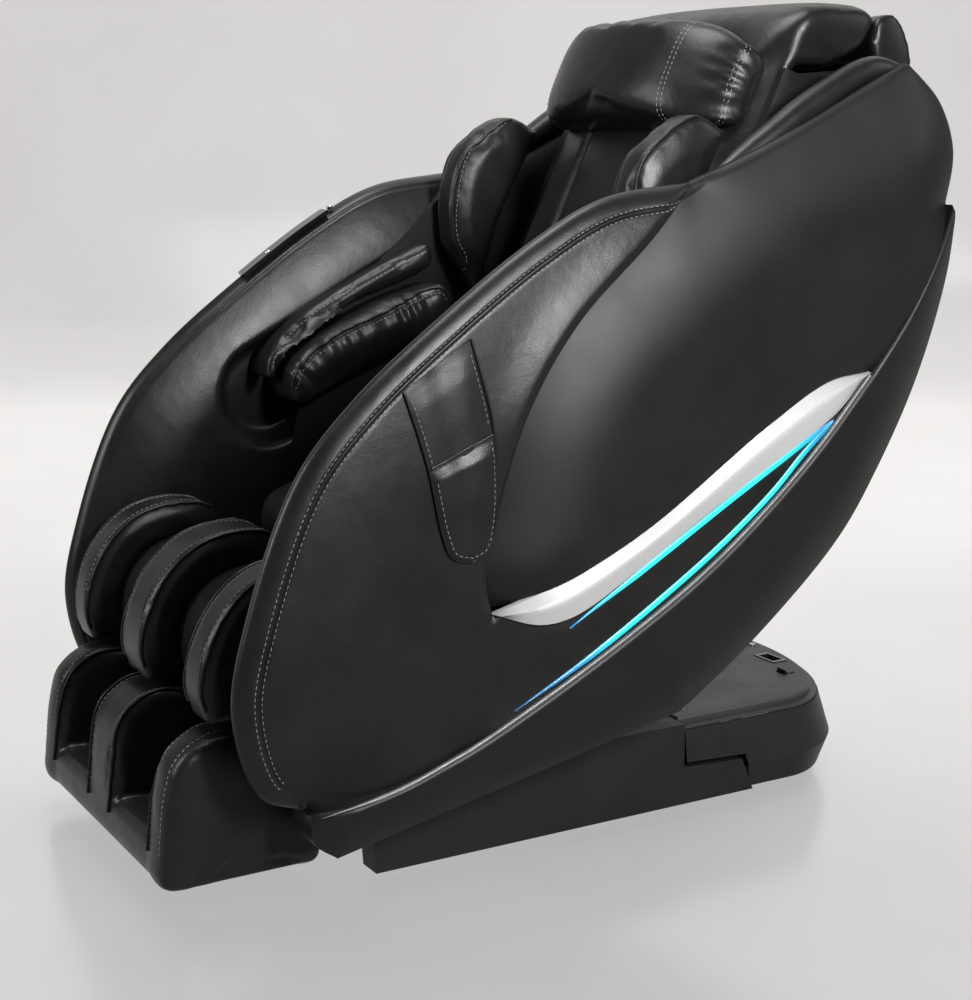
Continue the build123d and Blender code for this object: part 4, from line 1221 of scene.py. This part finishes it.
def studio():
    """A pale, softly glowing floor that turns up into a backdrop, left out of the chair's own lights."""
    material, tree, shader = shader_tree("studio")
    tone = ramp(tree, noise(tree, 1.2), [(0.35, (0.50, 0.49, 0.48)), (0.65, (0.53, 0.52, 0.51))])
    tree.links.new(tone, shader.inputs["Base Color"])
    tree.links.new(between(tree, noise(tree, 2.0), 0.18, 0.23), shader.inputs["Roughness"])
    tree.links.new(tone, shader.inputs["Emission Color"])
    shader.inputs["Emission Strength"].default_value = 0.86
    shader.inputs["IOR"].default_value = 1.8
    profile = [(-5000, 0), (-2000, 0), (1000, 0), (3600, 0), (4300, 120), (4800, 600),
               (5000, 1600), (5000, 5000)]
    line = smooth_line(profile, 60)
    turn = AZIMUTH
    rows = []
    for across in np.linspace(-7000, 7000, 12):
        x = -line[:, 0] * math.sin(turn) + across * math.cos(turn)
        y = line[:, 0] * math.cos(turn) + across * math.sin(turn)
        rows.append(np.column_stack([x, y, line[:, 1]]))
    points = np.vstack(rows)
    floor = make_piece("studio_floor", points, grid_faces(len(rows), len(line)))
    paint(floor, material)
    UNLIT.objects.link(floor)
    UNLIT.collection_objects[0].light_linking.link_state = "EXCLUDE"


def area_light(name, spot, target, size, power, spares_floor=False):
    """A soft rectangular light aimed at a point, which may leave the studio floor unlit."""
    data = bpy.data.lights.new(name, "AREA")
    data.shape = "RECTANGLE"
    data.size, data.size_y = size
    data.energy = power
    lamp = bpy.data.objects.new(name, data)
    if spares_floor:
        lamp.light_linking.receiver_collection = UNLIT
    lamp.location = spot
    lamp.rotation_mode = "QUATERNION"
    lamp.rotation_quaternion = (Vector(target) - Vector(spot)).to_track_quat("-Z", "Y")
    bpy.context.scene.collection.objects.link(lamp)


def camera():
    """The camera at the photograph's angle."""
    data = bpy.data.cameras.new("camera")
    data.lens = 64.8
    data.sensor_width = 36.0
    view = bpy.data.objects.new("camera", data)
    away = Vector((math.sin(AZIMUTH) * math.cos(ELEVATION), -math.cos(AZIMUTH) * math.cos(ELEVATION),
                   math.sin(ELEVATION)))
    view.location = TARGET + away * DISTANCE
    view.rotation_mode = "QUATERNION"
    view.rotation_quaternion = (-away).to_track_quat("-Z", "Y")
    bpy.context.scene.collection.objects.link(view)
    bpy.context.scene.camera = view


def world():
    """Even pale surroundings."""
    space = bpy.data.worlds.new("world")
    space.use_nodes = True
    sky = space.node_tree.nodes["Background"]
    sky.inputs["Color"].default_value = (0.93, 0.92, 0.91, 1)
    sky.inputs["Strength"].default_value = 0.12
    bpy.context.scene.world = space


studio()
area_light("crease_glow", (2.75, 0.1, 1.75), (0.35, 0.1, 0.8), (0.35, 1.1), 150, spares_floor=True)
area_light("overhead", (0.2, -0.4, 3.0), (0, 0.1, 0.6), (0.9, 1.4), 70, spares_floor=True)
area_light("front_strip", (-0.6, -3.2, 2.0), (0, 0, 0.6), (0.4, 1.8), 90, spares_floor=True)
area_light("rim_right", (1.6, 2.6, 2.0), (0.1, 0.4, 0.8), (0.5, 1.6), 14, spares_floor=True)
area_light("floor_wash", (-1.8, 1.6, 4.4), (-0.6, 0.6, 0.0), (5.0, 4.0), 95)
camera()
world()
bpy.context.scene.view_settings.view_transform = "Standard"      # keeps the blacks deep
